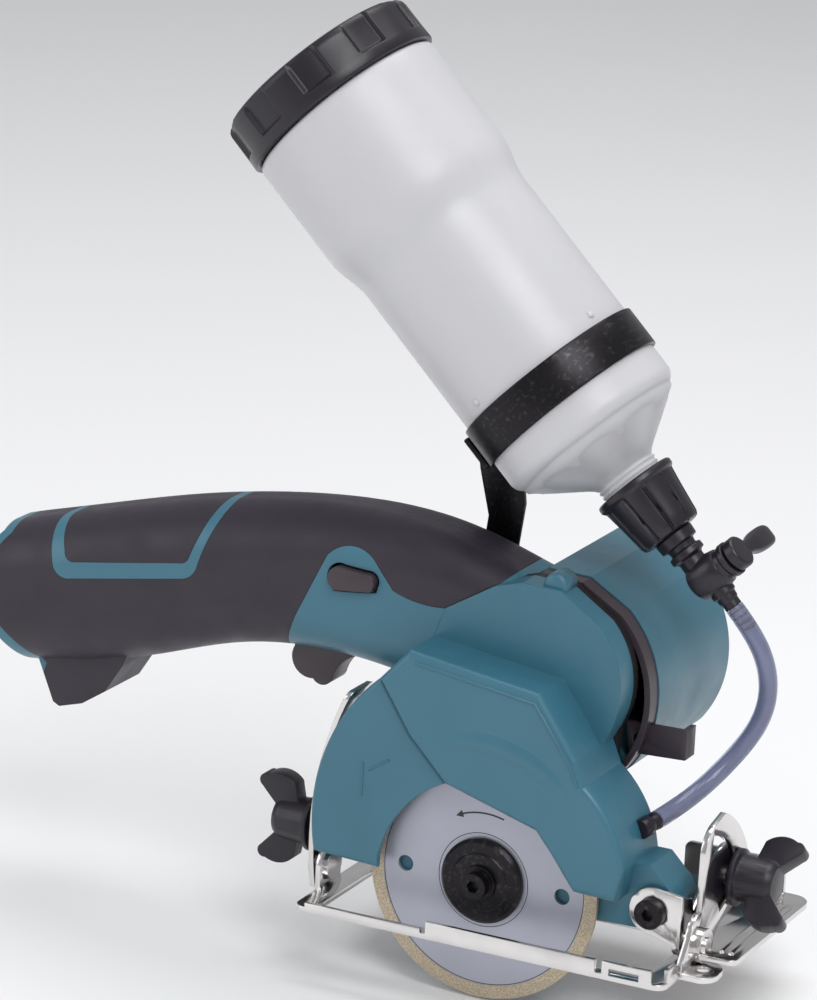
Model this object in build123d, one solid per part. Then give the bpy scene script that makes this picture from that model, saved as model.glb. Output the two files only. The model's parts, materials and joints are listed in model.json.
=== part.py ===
"""Hand-held wet tile saw: cordless handle, cross-mounted motor, geared 85 mm blade, tilting base, water tank.

Working axes: x forward along the cut, y from the blade towards the motor, z up, with zero at the
spindle axis and the blade's mid-plane. Every node is moved at the end so that the origin lies on the
cut line, at the guide hole in the front tab of the sole.
"""
import os
from math import acos, atan2, cos, degrees, hypot, pi, radians, sin, sqrt, tan

from build123d import *

# ---------------------------------------------------------------- driving dimensions, millimetres
BLADE_R = 42.5
BLADE_T = 1.3
RIM_W = 4.6
RIM_T = 1.7
CUT_DEPTH = 25.5
SOLE_Z = CUT_DEPTH - BLADE_R  # underside of the base
FLANGE_R = 15.1
ARBOR_R = 7.5
SPINDLE_R = 4.0
SHAFT_R = 2.5
RUN = 0.04  # radial running clearance

CASE_FRONT = -10.5  # raised face of the blade case
LEG_FRONT = -8.0  # lower face of its rear leg
CASE_SPLIT = 1.5  # joint between the blade case and the gear case
CHAMBER_Y = 4.6  # inner face of the gear case's front wall
GEAR_COVER_Y = 20.0
GEAR_COVER_T = 4.0

MOTOR_AXIS = (13.0, 64.0)
MOTOR_R = 21.0
BARREL_Y = (31.0, 92.0)
BAND_Y = (24.0, 31.0)

PRESSURE_ANGLE = radians(25)
BACKLASH = 0.16
FINE_MODULE = 0.6
COARSE_MODULE = 1.0
MOTOR_TEETH, FIRST_TEETH = 12, 60
SECOND_TEETH, IDLER_TEETH, DRIVEN_TEETH = 12, 36, 24
GEAR_FACE = 5.0

HANDLE_MID = 30.0  # joint between the handle's two halves
SKIN = 1.7  # rubber on the handle
WALL = 2.2

SHEET = 2.0  # base and brackets
BEVEL_AXIS = (6.0, -9.0)  # y and z of the bevel pivots
BEVEL_STUD_R, BEVEL_STUD_ANGLE = 33.0, 63.0
PLATE_X = 75.5  # rear face of the bevel scale plate
DEPTH_AXIS = (63.0, 2.0)  # x and z of the depth pivot
GUIDE_R = 128.2
GUIDE_Y = (-1.0, 17.0)
DEPTH_STUD = (8.0, 4.0)  # y and z of the rear clamp stud

TANK_Y = 45.0
TANK_TOP = (-100.4, 261.9)  # x and z where the axis meets the filler cap's top
TANK_TILT = 45.0
TANK_R1, TANK_R2 = 36.5, 33.5
BOTTLE_WALL = 1.6
HOSE_D = 6.5
HOSE_ROUTE = ((66.8, 45.0, 97.4), (74.6, 45.2, 89.2), (79.2, 47.8, 77.5), (78.8, 51.6, 65.5),
              (75.0, 54.0, 54.3),
              (68.6, 52.8, 43.6), (62.0, 44.2, 34.0), (57.4, 31.0, 28.8), (54.6, 17.2, 27.1))

VALVE_REACH = 13.5  # valve centre to the hose's end
NOZZLE_R, NOZZLE_LENGTH = 3.4, 9.0
NOZZLE_DIR = (Vector(*HOSE_ROUTE[-2]) - Vector(*HOSE_ROUTE[-1])).normalized()
NOZZLE_ROOT = Vector(*HOSE_ROUTE[-1]) - NOZZLE_DIR * NOZZLE_LENGTH
GUIDE_HOLE_R = 2.25

ORIGIN = Vector(82.0, 0.0, SOLE_Z)  # guide hole in the front tab


# ---------------------------------------------------------------- helpers
def loop(start, *steps):
    """Closed outline in x and z: a pair is a straight step, a pair of pairs an arc by mid and end."""
    edges, here = [], start
    for step in steps + (start,):
        if isinstance(step[0], tuple):
            mid, end = step
            edges.append(ThreePointArc(*[(p[0], 0, p[1]) for p in (here, mid, end)]))
        else:
            end = step
            if hypot(end[0] - here[0], end[1] - here[1]) > 1e-6:
                edges.append(Line((here[0], 0, here[1]), (end[0], 0, end[1])))
        here = end
    return make_face(Wire(edges))


def prism(face, y0, y1):
    return Pos(0, y0, 0) * extrude(face, amount=y1 - y0, dir=(0, 1, 0))


def block(x, y, z):
    """Box from three (low, high) pairs."""
    size = [pair[1] - pair[0] for pair in (x, y, z)]
    mid = [(pair[1] + pair[0]) / 2 for pair in (x, y, z)]
    return Pos(*mid) * Box(*size)


def rod(start, direction, radius, length):
    return Solid.make_cylinder(radius, length, Plane(origin=start, z_dir=direction))


def rod_y(x, z, radius, y0, y1):
    return rod((x, y0, z), (0, 1, 0), radius, y1 - y0)


def rod_x(y, z, radius, x0, x1):
    return rod((x0, y, z), (1, 0, 0), radius, x1 - x0)


def ring_y(x, z, outer, inner, y0, y1):
    return rod_y(x, z, outer, y0, y1) - rod_y(x, z, inner, y0 - 1, y1 + 1)


def plate_x(start, *steps, x0, x1):
    """Sheet across the x axis from an outline in y and z."""
    flat = loop(start, *steps)
    return Pos(x0, 0, 0) * Rot(0, 0, 90) * extrude(flat, amount=x1 - x0, dir=(0, -1, 0))


def polar(centre, radius, angle):
    """Point at an angle measured from the second axis towards the first."""
    return (centre[0] + radius * sin(radians(angle)), centre[1] + radius * cos(radians(angle)))


def soften(part, radius, edges):
    """Round the given edges, or leave the part sharp where they cannot be rounded."""
    try:
        return part.fillet(radius, edges) if hasattr(part, "fillet") else fillet(edges, radius)
    except Exception:
        return part


def spin_y(profile, x, z):
    """Solid of revolution about a line along y from (radius, y) points."""
    points = [(r, 0, y) for r, y in profile]
    face = make_face(Polyline(*points, close=True))
    solid = revolve(face, Axis.Z)
    return Pos(x, 0, z) * Rot(-90, 0, 0) * solid


def spin(profile, start, direction):
    """Solid of revolution about a direction from (radius, height) points."""
    face = make_face(Polyline(*[(r, 0, h) for r, h in profile], close=True))
    return Plane(origin=start, z_dir=direction).location * revolve(face, Axis.Z)


# ---------------------------------------------------------------- gears
def gear_outline(teeth, module, phase):
    """Points of an involute spur gear with one tooth centred at the phase angle."""
    pitch_r = module * teeth / 2
    base_r = pitch_r * cos(PRESSURE_ANGLE)
    root_r, tip_r = pitch_r - 1.25 * module, pitch_r + module
    half = pi / (2 * teeth) - BACKLASH / (4 * pitch_r) + tan(PRESSURE_ANGLE) - PRESSURE_ANGLE
    low_r = max(base_r, root_r)
    flank = []
    for k in range(5):
        r = low_r + (tip_r - low_r) * k / 4
        roll = acos(min(1.0, base_r / r))
        flank.append((r, half - (tan(roll) - roll)))
    points = []
    for tooth in range(teeth):
        centre = phase + 2 * pi * tooth / teeth
        side = ([(root_r, flank[0][1] + 0.02)] if root_r < low_r else []) + flank
        for r, offset in side:
            points.append((r * cos(centre - offset), r * sin(centre - offset)))
        for r, offset in reversed(side):
            points.append((r * cos(centre + offset), r * sin(centre + offset)))
    return points


def spur_gear(centre, teeth, module, phase, y0, y1, bore):
    outline = [(centre[0] + x, 0, centre[1] + z) for x, z in gear_outline(teeth, module, phase)]
    body = prism(make_face(Polyline(*outline, close=True)), y0, y1)
    return body - rod_y(centre[0], centre[1], bore, y0 - 1, y1 + 1)


def meshed_phase(centre_a, teeth_a, phase_a, centre_b, teeth_b):
    """Phase that puts a space of gear b opposite the tooth of gear a."""
    line = atan2(centre_b[1] - centre_a[1], centre_b[0] - centre_a[0])
    return line + pi - (phase_a - line) * teeth_a / teeth_b + pi / teeth_b


def train_centres():
    """Centres of the first shaft and the idler between the motor and the spindle."""
    mx, mz = MOTOR_AXIS
    span = hypot(mx, mz)
    first_c = FINE_MODULE * (MOTOR_TEETH + FIRST_TEETH) / 2
    second_c = COARSE_MODULE * (SECOND_TEETH + IDLER_TEETH) / 2
    third_c = COARSE_MODULE * (IDLER_TEETH + DRIVEN_TEETH) / 2
    rest = span - first_c
    first = (mx * rest / span, mz * rest / span)
    bend = acos((third_c**2 + rest**2 - second_c**2) / (2 * third_c * rest))
    lean = atan2(mz, mx) + bend
    return first, (third_c * cos(lean), third_c * sin(lean))


FIRST_AXIS, IDLER_AXIS = train_centres()
COARSE_Y = (11.4, 11.4 + GEAR_FACE)
FINE_Y = (5.4, 5.4 + GEAR_FACE)


def gear_train():
    drive_phase = 0.0
    first_phase = meshed_phase(MOTOR_AXIS, MOTOR_TEETH, drive_phase, FIRST_AXIS, FIRST_TEETH)
    second_phase = 0.3
    idler_phase = meshed_phase(FIRST_AXIS, SECOND_TEETH, second_phase, IDLER_AXIS, IDLER_TEETH)
    driven_phase = meshed_phase(IDLER_AXIS, IDLER_TEETH, idler_phase, (0, 0), DRIVEN_TEETH)
    fy, cy = FINE_Y, COARSE_Y
    first_shaft = rod_y(*FIRST_AXIS, SHAFT_R, CHAMBER_Y - 1.8, GEAR_COVER_Y + 1.8)
    gear_60 = spur_gear(FIRST_AXIS, FIRST_TEETH, FINE_MODULE, first_phase, *fy, SHAFT_R)
    for k in range(6):
        hole = polar(FIRST_AXIS, 11.0, 60 * k)
        gear_60 -= rod_y(*hole, 2.6, fy[0] - 1, fy[1] + 1)
    return {
        "motor_pinion": spur_gear(MOTOR_AXIS, MOTOR_TEETH, FINE_MODULE, drive_phase, fy[0], fy[1] + 2, 1.6),
        "first_gear": gear_60,
        "first_shaft": first_shaft,
        "second_pinion": spur_gear(FIRST_AXIS, SECOND_TEETH, COARSE_MODULE, second_phase, *cy, SHAFT_R),
        "idler_gear": spur_gear(IDLER_AXIS, IDLER_TEETH, COARSE_MODULE, idler_phase, *cy, SHAFT_R + RUN),
        "spindle_gear": spur_gear((0, 0), DRIVEN_TEETH, COARSE_MODULE, driven_phase, *cy, 5.0),
    }


# ---------------------------------------------------------------- blade and spindle
def blade():
    body = rod_y(0, 0, BLADE_R - RIM_W, -BLADE_T / 2, BLADE_T / 2)
    body -= rod_y(0, 0, ARBOR_R, -3, 3)
    for side in (-1, 1):
        body -= rod_y(side * 29.5, 0, 2.85, -3, 3)
    rim = ring_y(0, 0, BLADE_R, BLADE_R - RIM_W, -RIM_T / 2, RIM_T / 2)
    return {"blade": body, "diamond_rim": rim}


def spindle_group():
    half = BLADE_T / 2
    outer = spin_y([(SPINDLE_R, -half), (FLANGE_R, -half), (FLANGE_R, -half - 1.6),
                    (FLANGE_R - 1.2, -half - 2.8),
                    (10.6, -half - 2.8), (10.0, -half - 3.4), (SPINDLE_R, -half - 3.4)], 0, 0)
    inner = spin_y([(SPINDLE_R, -half), (ARBOR_R, -half), (ARBOR_R, half), (13.5, half), (13.5, half + 1.7),
                    (8.5, half + 1.7), (8.5, half + 2.4), (SPINDLE_R, half + 2.4)], 0, 0)
    shaft = spin_y([(0, -3.6), (SPINDLE_R, -3.6), (SPINDLE_R, CHAMBER_Y + 0.8), (5.0, CHAMBER_Y + 0.8),
                    (5.0, 17.2), (SPINDLE_R, 17.2), (SPINDLE_R, 23.0), (0, 23.0)], 0, 0)
    shaft -= rod_y(0, 0, 2.5, -4, 10)
    top = -half - 3.4
    bolt = rod_y(0, 0, 4.6, top - 5.0, top) + rod_y(0, 0, 2.5, top - 0.5, 9)
    socket = prism(make_face(Polyline(*[(2.3 * cos(pi * k / 3), 0,
                                         2.3 * sin(pi * k / 3)) for k in range(6)],
                                      close=True)), top - 6, top - 2.4)
    bolt = bolt + ring_y(0, 0, 6.2, 4.5, top - 1.2, top) - socket
    return {"outer_flange": outer, "inner_flange": inner, "spindle": shaft, "blade_bolt": bolt}


def bearings():
    races = []
    for x, z, bore, outer, y0, y1 in (
        (0, 0, SPINDLE_R, 8.0, 17.3, 21.9),
        (*MOTOR_AXIS, 2.5, 6.5, 24.6, 28.6),
        (*MOTOR_AXIS, 2.5, 6.5, 83.0, 87.0),
    ):
        races.append(ring_y(x, z, outer, bore + (outer - bore) * 0.66, y0, y1))
        races.append(ring_y(x, z, bore + (outer - bore) * 0.34, bore + RUN, y0, y1))
        track = bore + (outer - bore) * 0.5
        for k in range(7):
            bx, bz = polar((x, z), track, 360 * k / 7)
            races.append(Pos(bx, (y0 + y1) / 2, bz) * Sphere((outer - bore) * 0.15))
    return races


# ---------------------------------------------------------------- blade case and gear case
LEG = ((-62, 0), ((-61.2, 31), (-38.4, 67.6)), (-26.5, 49.4), (-12.1, 34.7), (0, 20), (0, -4), (-39.4, -1))
BLOCK_TOP = ((-38.4, 67.6), (-27.6, 79.6), (21.2, 72.9), (36.0, 52.2), (39.5, 44.0),
             ((50.5, 30.5), (54.8, 17)),
             (52.5, 5.5), (37.1, 6.0), (22.3, 24.8), (-12.1, 34.7), (-26.5, 49.4))


def window():
    """Opening in front of the blade, with a round rear edge and a straight upper edge."""
    return loop((-37, -14), (-37, 3), ((-31.2, 18.2), (-12.1, 34.7)), (22.3, 24.8),
                ((30.8, 15.5), (37.1, 3)),
                (37.1, -14))


def blade_case():
    rear = prism(loop(*LEG), LEG_FRONT, CASE_SPLIT)
    upper = prism(loop(*BLOCK_TOP), CASE_FRONT, CASE_SPLIT)
    upper = soften(upper, 2.5, upper.edges().filter_by_position(Axis.Y, CASE_FRONT - 0.1, CASE_FRONT + 0.1))
    rear = soften(rear, 1.6, rear.edges().filter_by_position(Axis.Y, LEG_FRONT - 0.1, LEG_FRONT + 0.1))
    case = rear + upper
    case -= prism(window(), CASE_FRONT - 1, CASE_SPLIT + 1)
    case -= rod_y(0, 0, 45.5, -5.6, CASE_SPLIT + 1)
    case -= block((-34, 34), (-5.6, 5), (-14, 20))
    for spot in CASE_SCREWS:
        case -= rod_y(*spot, 1.6, -5.6, CASE_SPLIT + 1)
    return case


CASE_SCREWS = ((-24.0, 70.0), (34.9, 44.0), (46.0, 10.0), (-52.5, 20.0))
UPPER_Y = 9.4  # front of the gear case above the blade case


def case_outline():
    """Gear case behind the blade case, with the front lug of the depth pivot."""
    return loop((-62, 0), ((-61.2, 31), (-38.4, 67.6)), (-27.6, 79.6), (21.2, 72.9), (36.0, 52.2),
                (39.5, 44.0),
                ((50.5, 30.5), (54.8, 17)), (60, 17), (66, 11), ((69.9, 1.5), (66, -5)), (55, -6), (17, -6),
                ((0, -16.2), (-17, -6)), (-39, -3))


def shoulder_outline():
    """Upper part of the gear case, between the handle and the motor barrel."""
    return loop((-27.6, 79.6), (-24, 90), (-6, 101), (4, 104), (18.0, 103.6), (33.5, 93.5),
                ((41.8, 77), (38.0, 56)),
                (36.0, 52.2), (10, 50), (-20, 60))


def gear_room():
    return loop((-17, 4), (-30, 12), (-32, 34), (-16, 64), (-4, 72), (14, 75), (28, 70), (31.6, 56),
                (31.4, 40),
                (22, 12), (14.6, 0), ((0, -14.4), (-14.6, 0)))


def gear_case():
    shell = prism(case_outline(), CASE_SPLIT, GEAR_COVER_Y)
    shell += prism(shoulder_outline(), UPPER_Y, GEAR_COVER_Y)
    lower_room = gear_room() & offset(case_outline(), amount=-WALL)
    shell -= prism(lower_room, CHAMBER_Y, GEAR_COVER_Y + 1)
    shell -= prism(gear_room(), UPPER_Y + WALL, GEAR_COVER_Y + 1)
    shell -= rod_y(0, 0, SPINDLE_R + 0.05, CASE_SPLIT - 1, CHAMBER_Y + 1)
    shell -= rod_y(0, 0, 14.1, CASE_SPLIT - 1, 2.9) + rod_y(0, 0, 9.2, CASE_SPLIT - 1, 3.6)
    shell -= rod_y(*FIRST_AXIS, SHAFT_R + RUN, CHAMBER_Y - 2, CHAMBER_Y + 1)
    shell -= rod_y(*IDLER_AXIS, SHAFT_R, CHAMBER_Y - 2, CHAMBER_Y + 1)
    for spot in CASE_SCREWS:
        shell -= rod_y(*spot, 1.6, CASE_SPLIT - 1, 10) + rod_y(*spot, 2.8, 9.5, GEAR_COVER_Y + 1)
    shell -= rod_y(*DEPTH_AXIS, 2.5, 0, 12)
    shell -= rod_x(*DEPTH_STUD, 3.0, -64, -54)
    shell -= rod(NOZZLE_ROOT, NOZZLE_DIR, NOZZLE_R, 16)
    return shell


def cover_outline():
    return loop((-22, 0), (-34, 34), (-20, 70), (-24, 90), (-6, 101), (4, 104), (18.0, 103.6), (33.5, 93.5),
                ((41.8, 77), (38.0, 56)), (36, 34), (24, 6), (17, -6), ((0, -16.2), (-17, -6)))


def gear_cover():
    plate = prism(cover_outline(), GEAR_COVER_Y, GEAR_COVER_Y + GEAR_COVER_T)
    plate -= rod_y(0, 0, 8.0, GEAR_COVER_Y - 1, GEAR_COVER_Y + 1.9)
    plate -= rod_y(0, 0, SPINDLE_R + 0.4, GEAR_COVER_Y - 1, GEAR_COVER_Y + 5)
    plate -= rod_y(*MOTOR_AXIS, 4.4, GEAR_COVER_Y - 1, GEAR_COVER_Y + 5)
    plate -= rod_y(*FIRST_AXIS, SHAFT_R + RUN, GEAR_COVER_Y - 1, GEAR_COVER_Y + 2)
    plate -= rod_y(*IDLER_AXIS, SHAFT_R, GEAR_COVER_Y - 1, GEAR_COVER_Y + 2)
    return plate


def case_screws():
    return [rod_y(x, z, 1.6, -4.6, 9.5) + rod_y(x, z, 2.8, 9.5, 11.8) for x, z in CASE_SCREWS]


# ---------------------------------------------------------------- motor
BARREL = ((4, 104.0), (20.0, 103.6), (35.0, 94.6), ((47.4, 66), (38.5, 39)), ((13, 29.3), (-12, 39)),
          ((-21.5, 66), (-10, 93)))


def barrel_face(inset=0.0):
    face = loop(*BARREL)
    return offset(face, amount=-inset) if inset else face


def motor_housing():
    y0, y1 = BARREL_Y
    barrel = prism(barrel_face(), y0, y1)
    end = barrel.edges().filter_by_position(Axis.Y, y1 - 0.1, y1 + 0.1)
    barrel = soften(barrel, 6.0, end)
    barrel -= prism(barrel_face(WALL), y0 - 1, y1 - 3.0)
    x, z = MOTOR_AXIS
    for angle in (45, 135, 225, 315):
        rib = block((-1, 1), (y0, y1 - 4), (MOTOR_R + 0.1, 60))
        rib = Pos(x, 0, z) * Rot(0, angle, 0) * rib
        barrel += rib & prism(barrel_face(WALL / 2), y0, y1 - 3)
    barrel -= rod_y(x, z, MOTOR_R, y0 - 1, y1 - 3.5)
    for k in range(5):
        slot = block((x - 15, x + 15), (y1 - 8, y1 + 1), (z - 13.4 + 6 * k, z - 10.6 + 6 * k))
        barrel -= slot
    return barrel


def band():
    ring = prism(barrel_face(0.4), *BAND_Y)
    ring -= prism(barrel_face(WALL + 0.4), BAND_Y[0] - 1, BAND_Y[1] + 1)
    ring -= block((36, 62), (27.9, 30.1), (44.8, 57))
    return ring


def motor_parts():
    x, z = MOTOR_AXIS
    can = ring_y(x, z, MOTOR_R, MOTOR_R - 1.6, 31.0, 82.0) + ring_y(x, z, MOTOR_R, 6.5, 29.4, 31.0)
    magnets = []
    for side in (-1, 1):
        arc = ring_y(x, z, MOTOR_R - 1.6, 15.2, 40.0, 72.0)
        arc &= block((x - 30, x + 30), (30, 90), tuple(sorted((z + side * 6, z + side * 30))))
        magnets.append(arc)
    bell = ring_y(x, z, MOTOR_R, 6.5, 82.0, 87.5)
    front_cup = ring_y(x, z, 9.5, 6.5, GEAR_COVER_Y + GEAR_COVER_T, 29.4)
    core = rod_y(x, z, 14.4, 42.0, 70.0) - rod_y(x, z, 2.5, 40, 72)
    for k in range(5):
        slot = Pos(x, 0, z) * Rot(0, 72 * k, 0) * block((-1.0, 1.0), (41, 71), (8.5, 16))
        core -= slot
    coils = []
    for k in range(5):
        turn = block((-3.4, 3.4), (39.5, 42.0), (5.0, 12.0))
        coils.append(Pos(x, 0, z) * Rot(0, 72 * k + 36, 0) * turn)
        coils.append(Pos(x, 0, z) * Rot(0, 72 * k + 36, 0) * (Pos(0, 30.5, 0) * turn))
    shaft = rod_y(x, z, 1.6, FINE_Y[0] - 0.6, 16) + rod_y(x, z, 2.5, 16, 90.0 - 2.0)
    commutator = ring_y(x, z, 6.0, 2.5, 74.8, 81.5)
    for k in range(5):
        bar_gap = Pos(x, 0, z) * Rot(0, 72 * k, 0) * block((-0.3, 0.3), (74, 82), (5.0, 7))
        commutator -= bar_gap
    brushes = [block(tuple(sorted((x + s * 6.4, x + s * 14))), (76.0, 80.5), (z - 2, z + 2)) for s in (-1,
                                                                                                       1)]
    holder = ring_y(x, z, MOTOR_R - 1.7, 8.0, 73.0, 74.6)
    for s in (-1, 1):
        holder += block(tuple(sorted((x + s * 9, x + s * 17))), (74.6, 82.0), (z - 3.6, z + 3.6))
        holder -= block(tuple(sorted((x + s * 5, x + s * 14.1))), (75.9, 80.6), (z - 2.1, z + 2.1))
    fan = ring_y(x, z, 8.0, 2.5, 33.0, 36.5)
    for k in range(9):
        fan += Pos(x, 0, z) * Rot(0, 40 * k, 0) * block((-0.6, 0.6), (33.0, 36.5), (7.0, 17.0))
    return {"motor_can": can, "motor_magnets": magnets, "motor_bearing_seats": [bell, front_cup],
            "armature_core": core, "armature_coils": coils, "motor_shaft": shaft, "commutator": commutator,
            "brushes": brushes, "brush_holder": holder, "cooling_fan": fan}


# ---------------------------------------------------------------- handle
# stations of the handle: x, underside, top, half width, corner radius
STATIONS = ((-213, 45, 84, 20.0, 16), (-190, 37.5, 91, 22.0, 18), (-168, 41, 97, 22.5, 18.5),
            (-140, 48.5, 104.5, 22.5, 19), (-112, 57.5, 110.5, 22.0, 19), (-84, 62, 114.3, 21.5, 18),
            (-56, 61.5, 115.2, 21.0, 16), (-30, 58, 112, 20.5, 14), (-8, 56, 105.5, 19.7, 12), (8, 58, 100.5,
                                                                                                19.0, 11))
FOOT = ((-188, 40), (-181.5, 24.5), (-179, 23.2), (-169.5, 26), (-160.5, 32), (-153.5, 43), (-150, 52),
        (-188, 52))
REAR_CUT = ((-240, 120), (-203, 120), (-203.2, 85), ((-209.3, 66), (-203.2, 50.5)), (-188.8, 34), (-196, 10),
            (-240, 10))
GRIP_REGION = ((-199, 130), (-199.2, 85), ((-205, 66), (-199.4, 52.5)), (-184.5, 38.5), (-194, 10),
               (-95, 10),
               (-88, 62.0), (-69.3, 101.2), ((-60, 105.5), (-50.6, 101.0)), (-44, 92.6), ((-33, 89.8),
                                                                                          (-21.6, 90.2)),
               ((-17.5, 91.2), (-13.5, 94.0)), (1.7, 107.9), (1.7, 130))
STRIPE = ((-184.5, 104), (-181.6, 92), (-177.3, 78.6), ((-174.2, 75.4), (-170, 75.2)), (-125.5, 82.9),
          ((-121.8, 84.6), (-119.4, 89)), (-112.5, 110), (-111, 120), (-115, 120), (-116.3, 110), (-122.6,
                                                                                                   91.4),
          ((-124.0, 89.2), (-126.8, 88.4)), (-168.6, 81.4), ((-171.6, 81.8), (-173.4, 84.6)), (-178.2,
                                                                                               94), (-180.4, 104))
LOCK_HOLE = ((-68.6, 92), ((-67.6, 97.6), (-62.0, 98.9)), (-53.5, 98.2), ((-49.8, 96.6), (-49.6, 93.2)),
             (-50.2, 90.6),
             ((-58, 89.6), (-66.5, 88.8)))
BUTTON = ((-67.8, 92.2), ((-66.9, 96.9), (-62.0, 98.1)), (-54.0, 97.4), ((-50.6, 96.0), (-50.4, 93.2)),
          (-50.9, 91.3),
          ((-58, 90.4), (-65.8, 89.7)))
TRIGGER_PIN = (-63.5, 67.0)
ARM_FOOT = (-27.5, 86.0)
ARM_Y = (51.2, 53.2)
HANDLE_SCREWS = ((-172.0, 34.5), (-131.0, 62.0), (-98.0, 74.0), (-98.0, 104.0), (-46.0, 72.0))


def handle_solid(inset, rear_reach=0.0, front_reach=0.0):
    faces = []
    for x, low, high, half, corner in STATIONS:
        if x == STATIONS[0][0]:
            x -= rear_reach
        if x == STATIONS[-1][0]:
            x += front_reach
        mid, tall = (low + high) / 2, (high - low) / 2
        plane = Plane(origin=(x, HANDLE_MID, mid), x_dir=(0, 1, 0), z_dir=(1, 0, 0))
        flat = RectangleRounded(2 * (half - inset), 2 * (tall - inset), max(corner - inset * 0.6, 3))
        faces.append(plane * flat)
    return loft(faces)


def foot_solid(inset):
    outline = loop(*FOOT)
    return prism(offset(outline, amount=-inset) if inset else outline, 17.5 + inset, 42.5 - inset)


def across(*outline):
    """Prism through the whole handle from an outline in x and z."""
    return prism(loop(*outline), -5, 70)


def handle_parts():
    """Two moulded halves and the rubber skin on each."""
    whole = handle_solid(0) + foot_solid(0) - across(*REAR_CUT)
    whole -= prism(case_outline(), CASE_SPLIT, GEAR_COVER_Y) + prism(shoulder_outline(), UPPER_Y,
                                                                     GEAR_COVER_Y)
    whole -= prism(cover_outline(), GEAR_COVER_Y, GEAR_COVER_Y + GEAR_COVER_T)
    whole -= prism(barrel_face(), BAND_Y[0], BARREL_Y[1])
    whole -= across(*LOCK_HOLE)
    core = handle_solid(SKIN, 2.0, 2.0) + foot_solid(SKIN)
    skin_zone = across(*GRIP_REGION) - across(*STRIPE) - core
    inside = handle_solid(SKIN + WALL, 4.0, 4.0) & block((-240, 1.5), (0, 70), (0, 140))
    skin, shell = whole & skin_zone, whole - skin_zone - inside
    for x, z in HANDLE_SCREWS[1:]:
        shell += rod_y(x, z, 3.6, 5, 55) & inside
    for side in (-1, 1):
        y = HANDLE_MID + side * 8.4
        shell += block((-67.5, -59.5), (y - 2, y + 2), (58, 71)) & inside
    gap = block((-91, -58.5), (23.6, 36.4), (40, 74))
    shell, skin = shell - gap - rod_y(*TRIGGER_PIN, 1.5, 22, 38), skin - gap
    x, z = ARM_FOOT
    foot = rod_y(x, z, 4.5, 44, ARM_Y[0])
    shell, skin = shell + foot, skin - foot
    shell -= rod_y(x, z, 1.6, 40, ARM_Y[1])
    for x, z in HANDLE_SCREWS:
        recess = rod_y(x, z, 3.2, 40, 60)
        shell, skin = shell - recess - rod_y(x, z, 1.6, 16, 60), skin - recess
    near, far = block((-240, 40), (-10, HANDLE_MID), (0, 140)), block((-240, 40), (HANDLE_MID, 80),
                                                                      (0, 140))
    return {"housing_near": shell & near, "housing_far": shell & far, "grip_near": skin & near,
            "grip_far": skin & far}


def handle_screws():
    return [rod_y(x, z, 1.6, 20, 40) + rod_y(x, z, 3.0, 40, 42.4) for x, z in HANDLE_SCREWS]


def fixed_pins():
    """Pins that the idler gear and the trigger turn on."""
    return [rod_y(*IDLER_AXIS, SHAFT_R, CHAMBER_Y - 2, GEAR_COVER_Y + 2), rod_y(*TRIGGER_PIN, 1.5, 22, 38)]


def switch_parts():
    trigger = prism(loop((-88.4, 61.0), ((-87.6, 52.6), (-80.8, 50.2)), ((-76.4, 48.6), (-73.2, 52.0)),
                         ((-69.6, 58.0), (-60.4, 62.2)), (-60.4, 70), (-88.4, 70)), 24.2, 35.8)
    trigger = soften(trigger, 2.2, trigger.edges().filter_by(Axis.Y, reverse=True))
    switch = block((-90, -60), (22.5, 37.5), (76.5, 89.0))
    stem = rod((-74, HANDLE_MID, 69), (0, 0, 1), 1.8, 5.5)
    trigger -= rod_y(*TRIGGER_PIN, 1.5 + RUN, 20, 40)
    button = prism(loop(*BUTTON), 6.6, 53.4)
    button -= block((-63, -55), (18, 42), (80, 93.2))
    terminal = block((-128, -118), (16, 44), (68, 94))
    for side in (-1, 1):
        terminal += block((-140, -128), (HANDLE_MID + side * 7 - 0.5, HANDLE_MID + side * 7 + 0.5),
                          (74, 88))
    return {"trigger": trigger + stem, "switch_body": switch, "lock_button": button,
            "terminal_block": terminal}


# ---------------------------------------------------------------- base, brackets and knobs
def floor_plate(start, *steps, z0, z1):
    """Level sheet from an outline in x and y."""
    flat = Rot(-90, 0, 0) * loop(start, *steps)
    return Pos(0, 0, z0) * extrude(flat, amount=z1 - z0, dir=(0, 0, 1))


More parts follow.
